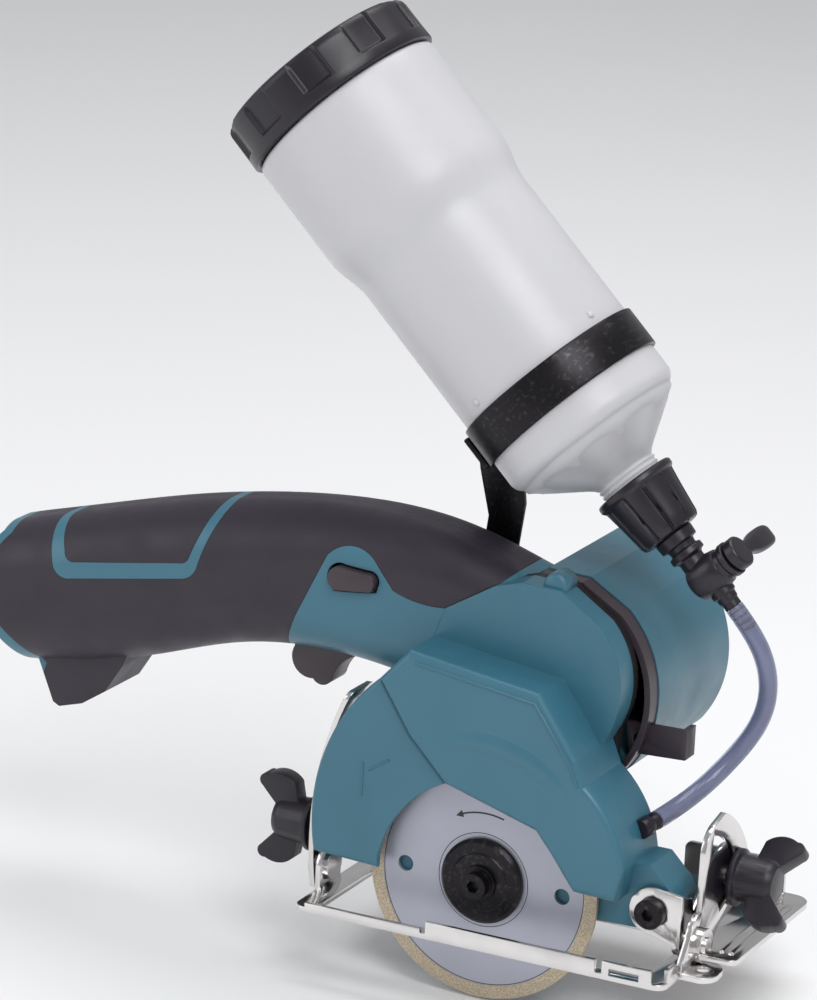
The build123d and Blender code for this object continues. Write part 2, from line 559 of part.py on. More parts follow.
def base():
    z0, z1 = SOLE_Z, SOLE_Z + SHEET
    sheet = floor_plate((-57.5, -22), (73, -22), ((75.8, -20.8), (77, -18)), (77, -9), (75.3, -9),
                        (75.3, 8.5), (77, 8.5),
                        (77, 12), (85.5, 12), ((87.6, 12.9), (88.5, 15)), (88.5, 76), ((86.5, 81),
                                                                                       (81.5, 83)),
                        (-54.5, 83), ((-59.5, 81), (-61.5, 76)), (-61.5, -18), ((-60.3, -20.8),
                                                                                (-57.5, -22)),
                        z0=z0, z1=z1)
    sheet -= floor_plate((-50.5, -17), (65, -17), ((67.1, -16.1), (68, -14)), (68, 23),
                         ((67.1, 25.1), (65, 26)),
                         (-50.5, 26), ((-52.6, 25.1), (-53.5, 23)), (-53.5, -14), ((-52.6, -16.1),
                                                                                   (-50.5, -17)),
                         z0=z0 - 1, z1=z1 + 1)
    for x0, x1, top in ((-57, -13, -13.5), (-11, 52, -10.7), (54.5, 72.5, -10.5)):
        sheet += block((x0, x1), (-22, -20.4), (z0, top))
    sheet += block((75.4, 77), (-18, -10), (z0, -10.5))
    sheet -= block((57, 68), (-23, -20), (-15.2, -12.8))
    far_rail = block((40, 78), (81.4, 83), (z0, -3)) + block((-54, 38), (81.4, 83), (z0, -12.5))
    sheet += soften(far_rail, 2.5, far_rail.edges().filter_by(Axis.Y).group_by(Axis.Z)[-1])
    sheet += plate_x((-1.8, z0), (13.8, z0), (13.8, -9), ((6, -1.2), (-1.8, -9)), x0=-63.5, x1=-61.5)
    for k in range(2):
        x = 81.0 + 3.6 * k
        rib = Solid.make_cylinder(1.2, 52, Plane(origin=(x, 18, z1 - 0.4), z_dir=(0, 1, 0)))
        sheet += rib & block((60, 90), (0, 83), (z1 - 0.5, z1 + 3))
    sheet -= rod_x(*BEVEL_AXIS, 3.0, -65, -60)
    return sheet


def bevel_plate():
    """Scale quadrant with its window, and the sight tab bent forward from its foot."""
    x0, x1 = PLATE_X, PLATE_X + SHEET
    far = polar(BEVEL_AXIS, 45, 75)
    near = polar(BEVEL_AXIS, 45, 22)
    sheet = plate_x((-8, SOLE_Z), (7.5, SOLE_Z), (7.5, -14.8), (14, -14.8), (24, -6.8), (46, -2.4),
                    (far[0] - 0.8, far[1] - 3.5),
                    far, (polar(BEVEL_AXIS, 45, 48), near), (15, 31), ((9.5, 28), (6.8, 21)), (6.5, 2.5),
                    ((1, 0.5), (-2.2, -4.5)), (-8, -12), x0=x0, x1=x1)
    inner, outer, low, high = 18, 37, 12, 70
    gap = plate_x(polar(BEVEL_AXIS, inner, low), polar(BEVEL_AXIS, outer, low),
                  (polar(BEVEL_AXIS, outer, 41), polar(BEVEL_AXIS, outer, high)), polar(BEVEL_AXIS, inner,
                                                                                        high),
                  (polar(BEVEL_AXIS, inner, 41), polar(BEVEL_AXIS, inner, low)), x0=x0 - 1, x1=x1 + 1)
    sheet -= gap
    tab = floor_plate((x1 - 0.5, -8), (84, -8), ((88, -4), (88, 0)), ((87.8, 3.2), (84.5, 7.5)),
                      (x1 - 0.5, 7.5),
                      z0=SOLE_Z, z1=SOLE_Z + SHEET)
    sheet += tab
    sheet -= rod((ORIGIN.X, 0, SOLE_Z - 1), (0, 0, 1), GUIDE_HOLE_R, SHEET + 2)
    sheet -= rod_x(*BEVEL_AXIS, 3.0, x0 - 1, x1 + 1)
    return sheet


def hull_x(circles, x0, x1):
    """Sheet across x around two circles given as (y, z, radius)."""
    (ya, za, ra), (yb, zb, rb) = circles
    span = hypot(yb - ya, zb - za)
    lean = atan2(zb - za, yb - ya)
    spread = acos((ra - rb) / span)
    corners = []
    for angle in (lean + spread, lean - spread):
        corners.append(((ya + ra * cos(angle), za + ra * sin(angle)),
                        (yb + rb * cos(angle), zb + rb * sin(angle))))
    (a1, b1), (a2, b2) = corners
    web = plate_x(a1, b1, b2, a2, x0=x0, x1=x1)
    return web + rod_x(ya, za, ra, x0, x1) + rod_x(yb, zb, rb, x0, x1)


BEVEL_STUD = polar(BEVEL_AXIS, BEVEL_STUD_R, BEVEL_STUD_ANGLE)


def front_bracket():
    x, z = DEPTH_AXIS
    lug = rod_y(x, z, 8.5, -1.5, 0.5) + prism(loop((x, z + 8.5), (73.5, 9), (73.5, -9.3), (x, z - 8.5)),
                                              -1.5, 0.5)
    plate = hull_x(((*BEVEL_AXIS, 5.6), (*BEVEL_STUD, 11.0)), 71.5, 73.5)
    plate += plate_x((-1.5, -9.3), (4, -13), (10, 0), (8, 6), (-1.5, 9), x0=71.5, x1=73.5)
    bracket = lug + plate
    bracket -= rod_y(x, z, SHAFT_R + RUN, -3, 2)
    bracket -= rod_x(*BEVEL_AXIS, 3.0 + RUN, 70, 75)
    bracket -= rod_x(*BEVEL_STUD, 3.0, 70, 75)
    return bracket


def bracket_boss():
    y, z = BEVEL_STUD
    boss = hull_x(((y - 11.4, z, 10.9), (y, z, 11.0)), 73.5, 75.1)
    return boss - rod_x(y, z, 3.0, 70, 78)


def bevel_rivets():
    y, z = BEVEL_AXIS
    front = rod_x(y, z, 3.0, 71.2, 81.0) + rod_x(y, z, 6.0, 77.5, 80.2) + rod_x(y, z, 5.0, 69.6, 71.2)
    rear = rod_x(y, z, 3.0, -67.9, -60.2) + rod_x(y, z, 5.4, -61.5, -60.0) + rod_x(y, z, 5.0, -67.9, -66.9)
    return [front, rear]


def depth_screw():
    x, z = DEPTH_AXIS
    head = rod_y(x, z, 5.2, -5.6, -1.9)
    head = soften(head, 0.8, head.edges().filter_by_position(Axis.Y, -5.7, -5.5))
    head -= prism(loop(*[(x + 2.2 * cos(pi * k / 3), z + 2.2 * sin(pi * k / 3)) for k in range(6)]), -6,
                  -3.4)
    return head + rod_y(x, z, SHAFT_R, -2.4, 12)


def depth_guide():
    """Curved strap about the depth pivot, with its clamp slot and bevel pivot hole."""
    x, z = DEPTH_AXIS
    strap = ring_y(x, z, GUIDE_R + 1.8, GUIDE_R, *GUIDE_Y)
    strap &= block((-70, -40), GUIDE_Y, (-16, 57))
    strap = soften(strap, 3.0, strap.edges().filter_by(Axis.X, tolerance=30).group_by(Axis.Z)[-1])
    y = DEPTH_STUD[0]
    slot = block((-72, -40), (y - 3.5, y + 3.5), (DEPTH_STUD[1], 49.5))
    for end in (DEPTH_STUD[1], 49.5):
        slot += rod_x(y, end, 3.5, -72, -40)
    strap -= slot
    return strap - rod_x(*BEVEL_AXIS, 3.0 + RUN, -72, -55)


def wing_knob(y, z, x0, sense, lean):
    """Clamp knob with two wings, pointing along x from x0 in the given sense."""
    profile = [(3.0 + RUN, 0), (10, 0), (10, 1.6), (8.4, 2.4), (7.6, 13), (6.4, 15), (0, 15), (0, 12),
               (3.0 + RUN, 12)]
    hub = spin(profile, (0, 0, 0), (0, 0, 1))
    wings = None
    for side in (-1, 1):
        outline = loop((3.0 * side, 5.5), (13.5 * side, 7.5), ((16.2 * side, 12), (15.4 * side, 18.5)),
                       ((13.6 * side, 21.5), (11.0 * side, 20.5)), (3.0 * side, 13))
        wing = Pos(0, -3.2, 0) * extrude(outline, amount=6.4, dir=(0, 1, 0))
        wings = wing if wings is None else wings + wing
    wings -= Solid.make_cylinder(3.0 + RUN, 12, Plane.XY)
    knob = hub + wings
    turned = Rot(0, 0, lean) * knob
    return Plane(origin=(x0, y, z), x_dir=(0, 1, 0), z_dir=(sense, 0, 0)).location * turned


def knobs_and_studs():
    y, z = BEVEL_STUD
    bevel_stud = rod_x(y, z, 3.0, 71.0, 89.5) + rod_x(y, z, 5.5, 68.8, 71.5)
    y2, z2 = DEPTH_STUD
    depth_stud = rod_x(y2, z2, 3.0, -79.8, -54.5)
    return {"bevel_stud": bevel_stud, "depth_stud": depth_stud,
            "bevel_knob": wing_knob(y, z, 77.9, 1, 50), "depth_knob": wing_knob(y2, z2, -68.4, -1, 90)}


# ---------------------------------------------------------------- tank, valve and hose
DOWN = Vector(cos(radians(TANK_TILT)), 0,
              -sin(radians(TANK_TILT)))  # along the tank's axis, towards the valve
ACROSS = Vector(sin(radians(TANK_TILT)), 0, cos(radians(TANK_TILT)))


def tank_point(t):
    return Vector(TANK_TOP[0], TANK_Y, TANK_TOP[1]) + DOWN * t


def tank_spin(profile):
    return spin(profile, tank_point(0), DOWN)


def tank_bottle():
    w = BOTTLE_WALL
    outer = [(33.0, 5.0), (33.0, 17.8), (35.4, 18.0), (TANK_R1, 19.4), (TANK_R1, 58.0), (35.6, 66.0),
             (TANK_R2, 75.0),
             (TANK_R2, 158.0), (32.0, 162.5), (14.0, 175.0), (11.5, 176.0), (11.5, 194.0)]
    inner = [(11.5 - w, 194.0), (11.5 - w, 176.6), (13.2, 174.0), (30.8, 161.4), (TANK_R2 - w, 157.2),
             (TANK_R2 - w, 75.2), (35.6 - w, 66.2), (TANK_R1 - w, 58.2), (TANK_R1 - w, 19.8), (33.0 - w,
                                                                                               19.4),
             (33.0 - w, 5.0)]
    return tank_spin(outer + inner)


def filler_cap():
    cap = tank_spin([(0, 0), (35.4, 0), (36.8, 1.4), (36.8, 17.2), (33.4, 17.2), (33.4, 2.8), (0, 2.8)])
    for k in range(36):
        rib = rod((0, 0, 0), (0, 0, 1), 0.9, 14)
        spot = (36.9 * cos(2 * pi * k / 36), 36.9 * sin(2 * pi * k / 36), 2.4)
        cap += Plane(origin=tank_point(0), z_dir=DOWN).location * (Pos(*spot) * rib)
    return cap


def tank_strap():
    strap = tank_spin([(TANK_R2, 132.4), (TANK_R2 + 1.5, 132.4), (TANK_R2 + 1.5, 147.0), (TANK_R2, 147.0)])
    return strap


def tank_arm():
    """Flat steel arm from the housing to the strap, with a saddle under the bottle."""
    plate = prism(loop((-33, 78), (-22.6, 76), (-18.8, 92), (-15.5, 118), (-17, 131), (-29, 146), (-36, 146),
                       (-33, 128),
                       (-29, 112)), *ARM_Y)
    saddle = tank_spin([(TANK_R2 + 1.5, 134), (TANK_R2 + 3.3, 134), (TANK_R2 + 3.3, 145.4),
                        (TANK_R2 + 1.5, 145.4)])
    saddle &= block((-60, 0), (38, 62), (110, 158))
    arm = plate - Solid.make_cylinder(TANK_R2 + 1.5, 220, Plane(origin=tank_point(0), z_dir=DOWN)) + saddle
    return arm - rod_y(*ARM_FOOT, 1.6, 49, 54)


def housing_screws():
    """Every screw of the gear case, the handle and the tank arm."""
    return case_screws() + handle_screws() + arm_screws()


def arm_screws():
    low = rod_y(*ARM_FOOT, 1.6, 41, ARM_Y[1]) + rod_y(*ARM_FOOT, 3.2, ARM_Y[1], ARM_Y[1] + 2)
    middle = tank_point(139.7)
    clips = [low]
    for y in (-3.2, 12.8):
        outward = (Vector(0, y, 0) - ACROSS * sqrt((TANK_R2 + 3.3) ** 2 - y**2)).normalized()
        clips.append(rod(middle + outward * (TANK_R2 + 3.3), outward, 3.0, 1.8))
    return clips


def filler_seal():
    return tank_spin([(28.6, 2.8), (32.8, 2.8), (32.8, 4.6), (28.6, 4.6)])


def hose_guard():
    """Small angled plate that keeps the hose off the base."""
    plate = prism(loop((37, 56.2), (38.6, 45.2), (57.5, 46), (57.5, 56.6)), 28.0, 30.0)
    plate += prism(loop((57.5, 46), (59.4, 46.1), (59.4, 56.7), (57.5, 56.6)), 28.0, 36.0)
    return plate - rod_y(42.2, 50.6, 2.2, 27, 31)


def neck_cap():
    cap = tank_spin([(11.6, 180.5), (14.2, 180.5), (14.2, 183.0), (13.0, 183.6), (12.9, 199.0),
                     (11.0, 202.0), (2.2, 202.0),
                     (2.2, 194.3), (11.6, 194.3)])
    return cap


def hose_path():
    points = [Vector(*p) for p in HOSE_ROUTE]
    radii = []
    for before, here, after in zip(points, points[1:], points[2:]):
        turn = radians((here - before).get_angle(after - here))
        shorter = min((here - before).length, (after - here).length)
        radii.append(0.45 * shorter / tan(turn / 2))
    return points, radii


def hose():
    points, radii = hose_path()
    path = FilletPolyline(*points, radius=radii)
    section = Plane(origin=points[0], z_dir=points[1] - points[0]) * Circle(HOSE_D / 2)
    tube = sweep(section, path=path)
    print("hose length", round(path.length, 1), "bend radii", [round(r, 1) for r in radii])
    print("hose volume over section times length",
          round(tube.volume / (pi * HOSE_D**2 / 4 * path.length), 4))
    return tube


def valve():
    """Water valve under the neck cap: body, outlet barb and lever."""
    start, second = (Vector(*p) for p in HOSE_ROUTE[:2])
    flow = (second - start).normalized()
    centre = start - flow * VALVE_REACH
    body = tank_spin([(0, 202.0), (7.2, 202.0), (7.2, 206.6), (5.2, 206.6), (5.2, 222.0), (0, 222.0)])
    body += rod(centre - ACROSS * 7.4, ACROSS, 7.4, 18.4)
    body += rod(centre, flow, 4.4, 8.0)
    body += rod(centre, flow, 3.2, VALVE_REACH)
    body -= rod(centre + ACROSS * 2, ACROSS, SHAFT_R + RUN, 12)
    hub = rod(centre + ACROSS * 11.4, ACROSS, 6.4, 4.2)
    pin = rod(centre + ACROSS * 2.4, ACROSS, SHAFT_R, 10)
    bar_plane = Plane(origin=centre + ACROSS * 12.4, x_dir=(0, 1, 0), z_dir=ACROSS)
    bar = bar_plane.location * (Pos(14.5, 0, 1.6) * Box(25, 7.4, 3.2))
    lever = hub + pin + soften(bar, 1.0, bar.edges())
    return {"valve_body": body, "valve_lever": lever}


def water_nozzle():
    end, before = Vector(*HOSE_ROUTE[-1]), Vector(*HOSE_ROUTE[-2])
    length = NOZZLE_LENGTH
    profile = [(0, 0), (NOZZLE_R, 0), (NOZZLE_R, 4.6), (2.6, 5.4), (3.1, 7.6), (3.1, length), (0, length)]
    return spin(profile, NOZZLE_ROOT, before - end)


# ---------------------------------------------------------------- whole saw
def flatten(pieces):
    """One compound of every solid in a piece or a list of pieces."""
    group = pieces if isinstance(pieces, list) else [pieces]
    solids = [solid for piece in group for solid in piece.solids()]
    return Compound(children=solids) if len(solids) > 1 else solids[0]


def all_parts():
    parts = {}
    parts.update(blade())
    parts.update(spindle_group())
    parts.update(gear_train())
    parts.update(motor_parts())
    parts.update(handle_parts())
    parts.update(switch_parts())
    parts.update(knobs_and_studs())
    parts.update(valve())
    makers = {"bearings": bearings, "fixed_pins": fixed_pins, "blade_case": blade_case,
              "gear_case": gear_case, "gear_cover": gear_cover,
              "housing_screws": housing_screws, "motor_housing": motor_housing, "housing_band": band,
              "base": base, "bevel_plate": bevel_plate, "front_bracket": front_bracket,
              "bracket_boss": bracket_boss, "bevel_rivets": bevel_rivets, "depth_screw": depth_screw,
              "depth_guide": depth_guide, "hose_guard": hose_guard, "tank_bottle": tank_bottle,
              "filler_cap": filler_cap, "filler_seal": filler_seal, "tank_strap": tank_strap, "tank_arm": tank_arm,
              "neck_cap": neck_cap, "hose": hose, "water_nozzle": water_nozzle}
    for name, make in makers.items():
        parts[name] = make()
    return parts


os.makedirs("parts", exist_ok=True)
for name, pieces in all_parts().items():
    export_step(flatten(pieces).moved(Location(ORIGIN * -1)), f"parts/{name}.step")
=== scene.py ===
"""Looks of a hand-held wet tile saw round its CAD frame: finishes, bottle, caps, hose, valve and markings."""
import json
from math import cos, pi, radians, sin, sqrt

import bmesh
import bpy
from bpy.props import FloatProperty, FloatVectorProperty, IntProperty, PointerProperty
from mathutils import Matrix, Vector


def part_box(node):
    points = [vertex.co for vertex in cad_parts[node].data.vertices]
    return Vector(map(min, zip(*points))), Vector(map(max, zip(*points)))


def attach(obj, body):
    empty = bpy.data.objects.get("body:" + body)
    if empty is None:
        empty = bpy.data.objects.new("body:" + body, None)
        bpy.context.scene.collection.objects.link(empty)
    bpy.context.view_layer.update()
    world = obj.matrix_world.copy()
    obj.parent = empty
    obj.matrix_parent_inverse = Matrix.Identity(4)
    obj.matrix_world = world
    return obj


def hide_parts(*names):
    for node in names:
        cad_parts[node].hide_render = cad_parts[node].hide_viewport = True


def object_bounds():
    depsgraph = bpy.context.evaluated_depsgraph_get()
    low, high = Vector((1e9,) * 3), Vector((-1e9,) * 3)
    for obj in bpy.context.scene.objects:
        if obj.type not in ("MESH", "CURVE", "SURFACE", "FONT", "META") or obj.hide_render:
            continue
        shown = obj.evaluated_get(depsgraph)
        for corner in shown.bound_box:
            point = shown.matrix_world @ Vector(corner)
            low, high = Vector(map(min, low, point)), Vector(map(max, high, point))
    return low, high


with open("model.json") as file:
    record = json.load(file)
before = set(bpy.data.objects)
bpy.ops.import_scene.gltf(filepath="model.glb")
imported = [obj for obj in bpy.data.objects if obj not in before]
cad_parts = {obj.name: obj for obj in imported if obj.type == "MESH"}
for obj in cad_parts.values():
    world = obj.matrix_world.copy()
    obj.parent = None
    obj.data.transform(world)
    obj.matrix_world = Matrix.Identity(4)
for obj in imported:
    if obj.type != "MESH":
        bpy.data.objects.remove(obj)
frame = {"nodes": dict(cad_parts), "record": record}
CAD_BOX = [list(corner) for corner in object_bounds()]
MM = 0.001
ROW_SHIFT = Vector((-82.0, 0.0, 17.0))  # spindle-centred millimetres to the row frame
CASE_FRONT_Y = -10.5  # face of the blade case
LEG_FRONT_Y = -8.0  # face of the case's rear leg
VALVE_REACH = 13.5  # valve's centre to the start of the hose


def at(x, y, z):
    """Point in the row frame, in metres, from spindle-centred millimetres."""
    return (Vector((x, y, z)) + ROW_SHIFT) * MM


def middle(node):
    """Centre of a node's box at rest."""
    low, high = (Vector(corner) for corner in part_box(node))
    return (low + high) / 2


TANK_DOWN = Vector((sqrt(0.5), 0.0, -sqrt(0.5)))  # along the bottle, towards its valve
TANK_UP = Vector((sqrt(0.5), 0.0, sqrt(0.5)))
TANK_START = at(-100.4, 45.0, 261.9)
HOSE_ROUTE = ((66.8, 45.0, 97.4), (74.6, 45.2, 89.2), (79.2, 47.8, 77.5), (78.8, 51.6, 65.5),
              (75.0, 54.0, 54.3), (68.6, 52.8, 43.6), (62.0, 44.2, 34.0), (57.4, 31.0, 28.8),
              (54.6, 17.2, 27.1))


def tank_point(t):
    """Point on the bottle's axis, t millimetres below the top of its cap."""
    return TANK_START + TANK_DOWN * t * MM


# ---------------------------------------------------------------- settings
class SawSizes(bpy.types.PropertyGroup):
    """Sizes that change the drawn detail but not the frame."""

    hose_diameter: FloatProperty(name="Hose diameter", description="Outside of the water hose",
                                 default=0.0065, unit="LENGTH")
    hose_bore: FloatProperty(name="Hose bore", description="Inside of the water hose",
                             default=0.0042, unit="LENGTH")
    cap_recesses: IntProperty(name="Cap recesses", description="Finger recesses round the filler cap",
                              default=10)
    neck_ribs: IntProperty(name="Neck cap ribs", description="Flats round the neck cap", default=10)
    edge_round: FloatProperty(name="Edge rounding", description="Radius on small moulded pieces",
                              default=0.0005, unit="LENGTH")
    plate_round: FloatProperty(name="Plate rounding", description="Radius on the edges of pressed plates",
                               default=0.0004, unit="LENGTH")
    grain: FloatProperty(name="Plastic grain", description="Grains of the moulded texture in a metre",
                         default=1500.0)


class SawColours(bpy.types.PropertyGroup):
    """Colours of the saw's own finishes."""

    housing: FloatVectorProperty(name="Housing", description="Blue-green housing plastic",
                                 subtype="COLOR", size=3, default=(0.040, 0.152, 0.215))
    grip: FloatVectorProperty(name="Grip", description="Dark violet-black rubber",
                              subtype="COLOR", size=3, default=(0.021, 0.0155, 0.026))
    fitting: FloatVectorProperty(name="Fittings", description="Black moulded fittings",
                                 subtype="COLOR", size=3, default=(0.013, 0.010, 0.016))
    bottle: FloatVectorProperty(name="Bottle", description="Milky bottle plastic",
                                subtype="COLOR", size=3, default=(0.60, 0.595, 0.62))
    disc: FloatVectorProperty(name="Blade disc", description="Ground steel of the blade",
                              subtype="COLOR", size=3, default=(0.42, 0.43, 0.50))
    rim: FloatVectorProperty(name="Blade rim", description="Sintered diamond rim",
                             subtype="COLOR", size=3, default=(0.50, 0.42, 0.31))


def sizes():
    """The saw's sizes, as the panel shows them."""
    return bpy.context.scene.saw_sizes


def colours():
    """The saw's colours, as the panel shows them."""
    return bpy.context.scene.saw_colours


# ---------------------------------------------------------------- materials
class Finish:
    """A principled material and short calls that wire its detail."""

    def __init__(self, name, colour, roughness, metallic=0.0):
        self.material = bpy.data.materials.new(name)
        self.material.use_nodes = True
        self.nodes = self.material.node_tree.nodes
        self.links = self.material.node_tree.links
        self.shader = self.nodes["Principled BSDF"]
        self.shader.inputs["Base Color"].default_value = (*colour, 1.0)
        self.shader.inputs["Roughness"].default_value = roughness
        self.shader.inputs["Metallic"].default_value = metallic
        self.place = self.nodes.new("ShaderNodeTexCoord").outputs["Object"]
        self.bump_in = None

    def mapped(self, location=(0, 0, 0), scale=(1, 1, 1), rotation=(0, 0, 0)):
        node = self.nodes.new("ShaderNodeMapping")
        node.inputs["Location"].default_value = location
        node.inputs["Scale"].default_value = scale
        node.inputs["Rotation"].default_value = rotation
        self.links.new(self.place, node.inputs["Vector"])
        return node.outputs["Vector"]

    def noise(self, scale, detail=4.0, vector=None, rough=0.5):
        node = self.nodes.new("ShaderNodeTexNoise")
        node.inputs["Scale"].default_value = scale
        node.inputs["Detail"].default_value = detail
        node.inputs["Roughness"].default_value = rough
        self.links.new(vector or self.place, node.inputs["Vector"])
        return node.outputs["Fac"]

    def cells(self, scale, vector=None):
        node = self.nodes.new("ShaderNodeTexVoronoi")
        node.inputs["Scale"].default_value = scale
        self.links.new(vector or self.place, node.inputs["Vector"])
        return node.outputs["Distance"]

    def ramp(self, value, low, high, to_low, to_high):
        node = self.nodes.new("ShaderNodeMapRange")
        for key, number in (("From Min", low), ("From Max", high), ("To Min", to_low), ("To Max", to_high)):
            node.inputs[key].default_value = number
        self.links.new(value, node.inputs["Value"])
        return node.outputs["Result"]

    def blend(self, factor, first, second):
        node = self.nodes.new("ShaderNodeMix")
        node.data_type = "RGBA"
        node.inputs["A"].default_value = (*first, 1.0)
        if isinstance(second, tuple):
            node.inputs["B"].default_value = (*second, 1.0)
        else:
            self.links.new(second, node.inputs["B"])
        self.links.new(factor, node.inputs["Factor"])
        return node.outputs["Result"]

    def colour(self, socket):
        self.links.new(socket, self.shader.inputs["Base Color"])

    def rough(self, socket):
        self.links.new(socket, self.shader.inputs["Roughness"])

    def bump(self, height, depth, strength=1.0):
        node = self.nodes.new("ShaderNodeBump")
        node.inputs["Distance"].default_value = depth
        node.inputs["Strength"].default_value = strength
        self.links.new(height, node.inputs["Height"])
        if self.bump_in is not None:
            self.links.new(self.bump_in, node.inputs["Normal"])
        self.bump_in = node.outputs["Normal"]
        self.links.new(self.bump_in, self.shader.inputs["Normal"])

    def soft_edges(self, radius):
        node = self.nodes.new("ShaderNodeBevel")
        node.samples = 4
        node.inputs["Radius"].default_value = radius
        self.bump_in = node.outputs["Normal"]

    def set(self, key, value):
        self.shader.inputs[key].default_value = value


def tint(colour, factor):
    """Colour made lighter or darker by a factor."""
    return tuple(min(1.0, channel * factor) for channel in colour)


def moulded(name, colour, low, high, grain_depth=0.00002, edge=0.0005):
    """Injection-moulded plastic: fine spark grain, faint flow marks and softened edges."""
    finish = Finish(name, colour, (low + high) / 2)
    finish.soft_edges(edge)
    finish.colour(finish.blend(finish.noise(26.0, 5.0), tint(colour, 0.86), tint(colour, 1.14)))
    finish.rough(finish.ramp(finish.noise(70.0, 6.0), 0.3, 0.7, low, high))
    finish.bump(finish.cells(sizes().grain), grain_depth, 0.5)
    finish.bump(finish.noise(220.0, 3.0), 0.00006, 0.25)
    return finish


def housing_plastic():
    """Blue-green housing plastic with a thin gloss."""
    finish = moulded("housing_plastic", tuple(colours().housing), 0.30, 0.46)
    finish.set("Specular IOR Level", 0.5)
    finish.set("Coat Weight", 0.12)
    finish.set("Coat Roughness", 0.3)
    return finish.material


def grip_rubber():
    """Soft violet-black rubber with a low sheen."""
    finish = moulded("grip_rubber", tuple(colours().grip), 0.40, 0.58, 0.00003, 0.0008)
    finish.set("Sheen Weight", 0.06)
    finish.set("Sheen Roughness", 0.45)
    finish.set("Sheen Tint", (0.75, 0.70, 0.85, 1.0))
    return finish.material


def fitting_plastic():
    """Black plastic of caps, valve and knobs."""
    return moulded("fitting_plastic", tuple(colours().fitting), 0.28, 0.45, 0.00002, 0.0006).material


def band_plastic():
    """Dark plastic of the band, trigger and lock button."""
    return moulded("band_plastic", (0.042, 0.030, 0.038), 0.30, 0.44).material


def inner_plastic():
    """Plain grey plastic of inner carriers."""
    return moulded("inner_plastic", (0.06, 0.06, 0.065), 0.45, 0.6).material


def chromed_sheet():
    """Bright plating over pressed sheet, with a faint ripple and polishing lines."""
    finish = Finish("chromed_sheet", (0.74, 0.72, 0.71), 0.16, 1.0)
    finish.soft_edges(0.0004)
    lines = finish.noise(900.0, 2.0, finish.mapped(scale=(0.08, 1.0, 1.0)))
    finish.colour(finish.blend(finish.noise(60.0, 6.0), (0.62, 0.60, 0.60), (0.84, 0.82, 0.80)))
    finish.rough(finish.ramp(finish.noise(45.0, 7.0), 0.3, 0.75, 0.09, 0.27))
    finish.bump(lines, 0.000012, 0.5)
    finish.bump(finish.noise(95.0, 2.0), 0.0003, 0.22)
    return finish.material


def ground_disc():
    """Ground steel with fine rings about the spindle."""
    finish = Finish("ground_disc", tuple(colours().disc), 0.34, 0.55)
    rings = finish.nodes.new("ShaderNodeTexWave")
    rings.wave_type = "RINGS"
    rings.rings_direction = "Y"
    rings.inputs["Scale"].default_value = 900.0
    rings.inputs["Distortion"].default_value = 1.6
    rings.inputs["Detail"].default_value = 3.0
    hub = at(0, 0, 0)
    finish.links.new(finish.mapped(location=-hub), rings.inputs["Vector"])
    base = tuple(colours().disc)
    finish.colour(finish.blend(finish.noise(35.0, 6.0), tint(base, 0.86), tint(base, 1.12)))
    finish.rough(finish.ramp(rings.outputs["Fac"], 0, 1, 0.3, 0.44))
    finish.bump(rings.outputs["Fac"], 0.00001, 0.35)
    return finish.material


def diamond_rim():
    """Sintered rim: grit in a tan bond."""
    finish = Finish("diamond_rim_grit", tuple(colours().rim), 0.55, 0.35)
    base = tuple(colours().rim)
    finish.colour(finish.blend(finish.cells(1600.0), tint(base, 0.62), tint(base, 1.35)))
    finish.rough(finish.ramp(finish.noise(800.0, 4.0), 0.3, 0.7, 0.42, 0.7))
    finish.bump(finish.cells(2100.0), 0.00012, 0.7)
    return finish.material


def oxide_steel():
    """Black-oxided steel with slight brushed wear."""
    finish = Finish("oxide_steel", (0.020, 0.018, 0.021), 0.34, 0.75)
    finish.soft_edges(0.0004)
    streaks = finish.noise(650.0, 3.0, finish.mapped(scale=(1.0, 0.15, 1.0)))
    finish.colour(finish.blend(finish.ramp(streaks, 0.55, 0.85, 0, 1), (0.018, 0.016, 0.019),
                               (0.07, 0.065, 0.07)))
    finish.rough(finish.ramp(finish.noise(90.0, 5.0), 0.3, 0.7, 0.26, 0.42))
    finish.bump(streaks, 0.00001, 0.4)
    return finish.material


def machined_steel():
    """Turned steel of gears, shafts and bearings."""
    finish = Finish("machined_steel", (0.56, 0.56, 0.58), 0.27, 1.0)
    finish.soft_edges(0.0003)
    turning = finish.noise(1200.0, 2.0, finish.mapped(scale=(1.0, 0.1, 1.0)))
    finish.colour(finish.blend(finish.noise(80.0, 4.0), (0.47, 0.47, 0.49), (0.64, 0.64, 0.65)))
    finish.rough(finish.ramp(turning, 0.3, 0.7, 0.2, 0.38))
    finish.bump(turning, 0.000012, 0.4)
    return finish.material


def cast_alloy():
    """Black-coated cast alloy with a fine pebbled skin."""
    finish = Finish("cast_alloy", (0.03, 0.027, 0.03), 0.5, 0.6)
    finish.colour(finish.blend(finish.noise(140.0, 6.0), (0.022, 0.019, 0.023), (0.04, 0.036, 0.042)))
    finish.rough(finish.ramp(finish.noise(300.0, 4.0), 0.3, 0.7, 0.4, 0.6))
    finish.bump(finish.noise(1100.0, 5.0), 0.00005, 0.6)
    return finish.material


def ferrite():
    """Grey-black motor magnet."""
    finish = Finish("ferrite", (0.05, 0.05, 0.052), 0.55, 0.3)
    finish.colour(finish.blend(finish.noise(400.0, 5.0), (0.035, 0.035, 0.037), (0.07, 0.07, 0.075)))
    finish.bump(finish.noise(1500.0, 4.0), 0.00003, 0.6)
    return finish.material


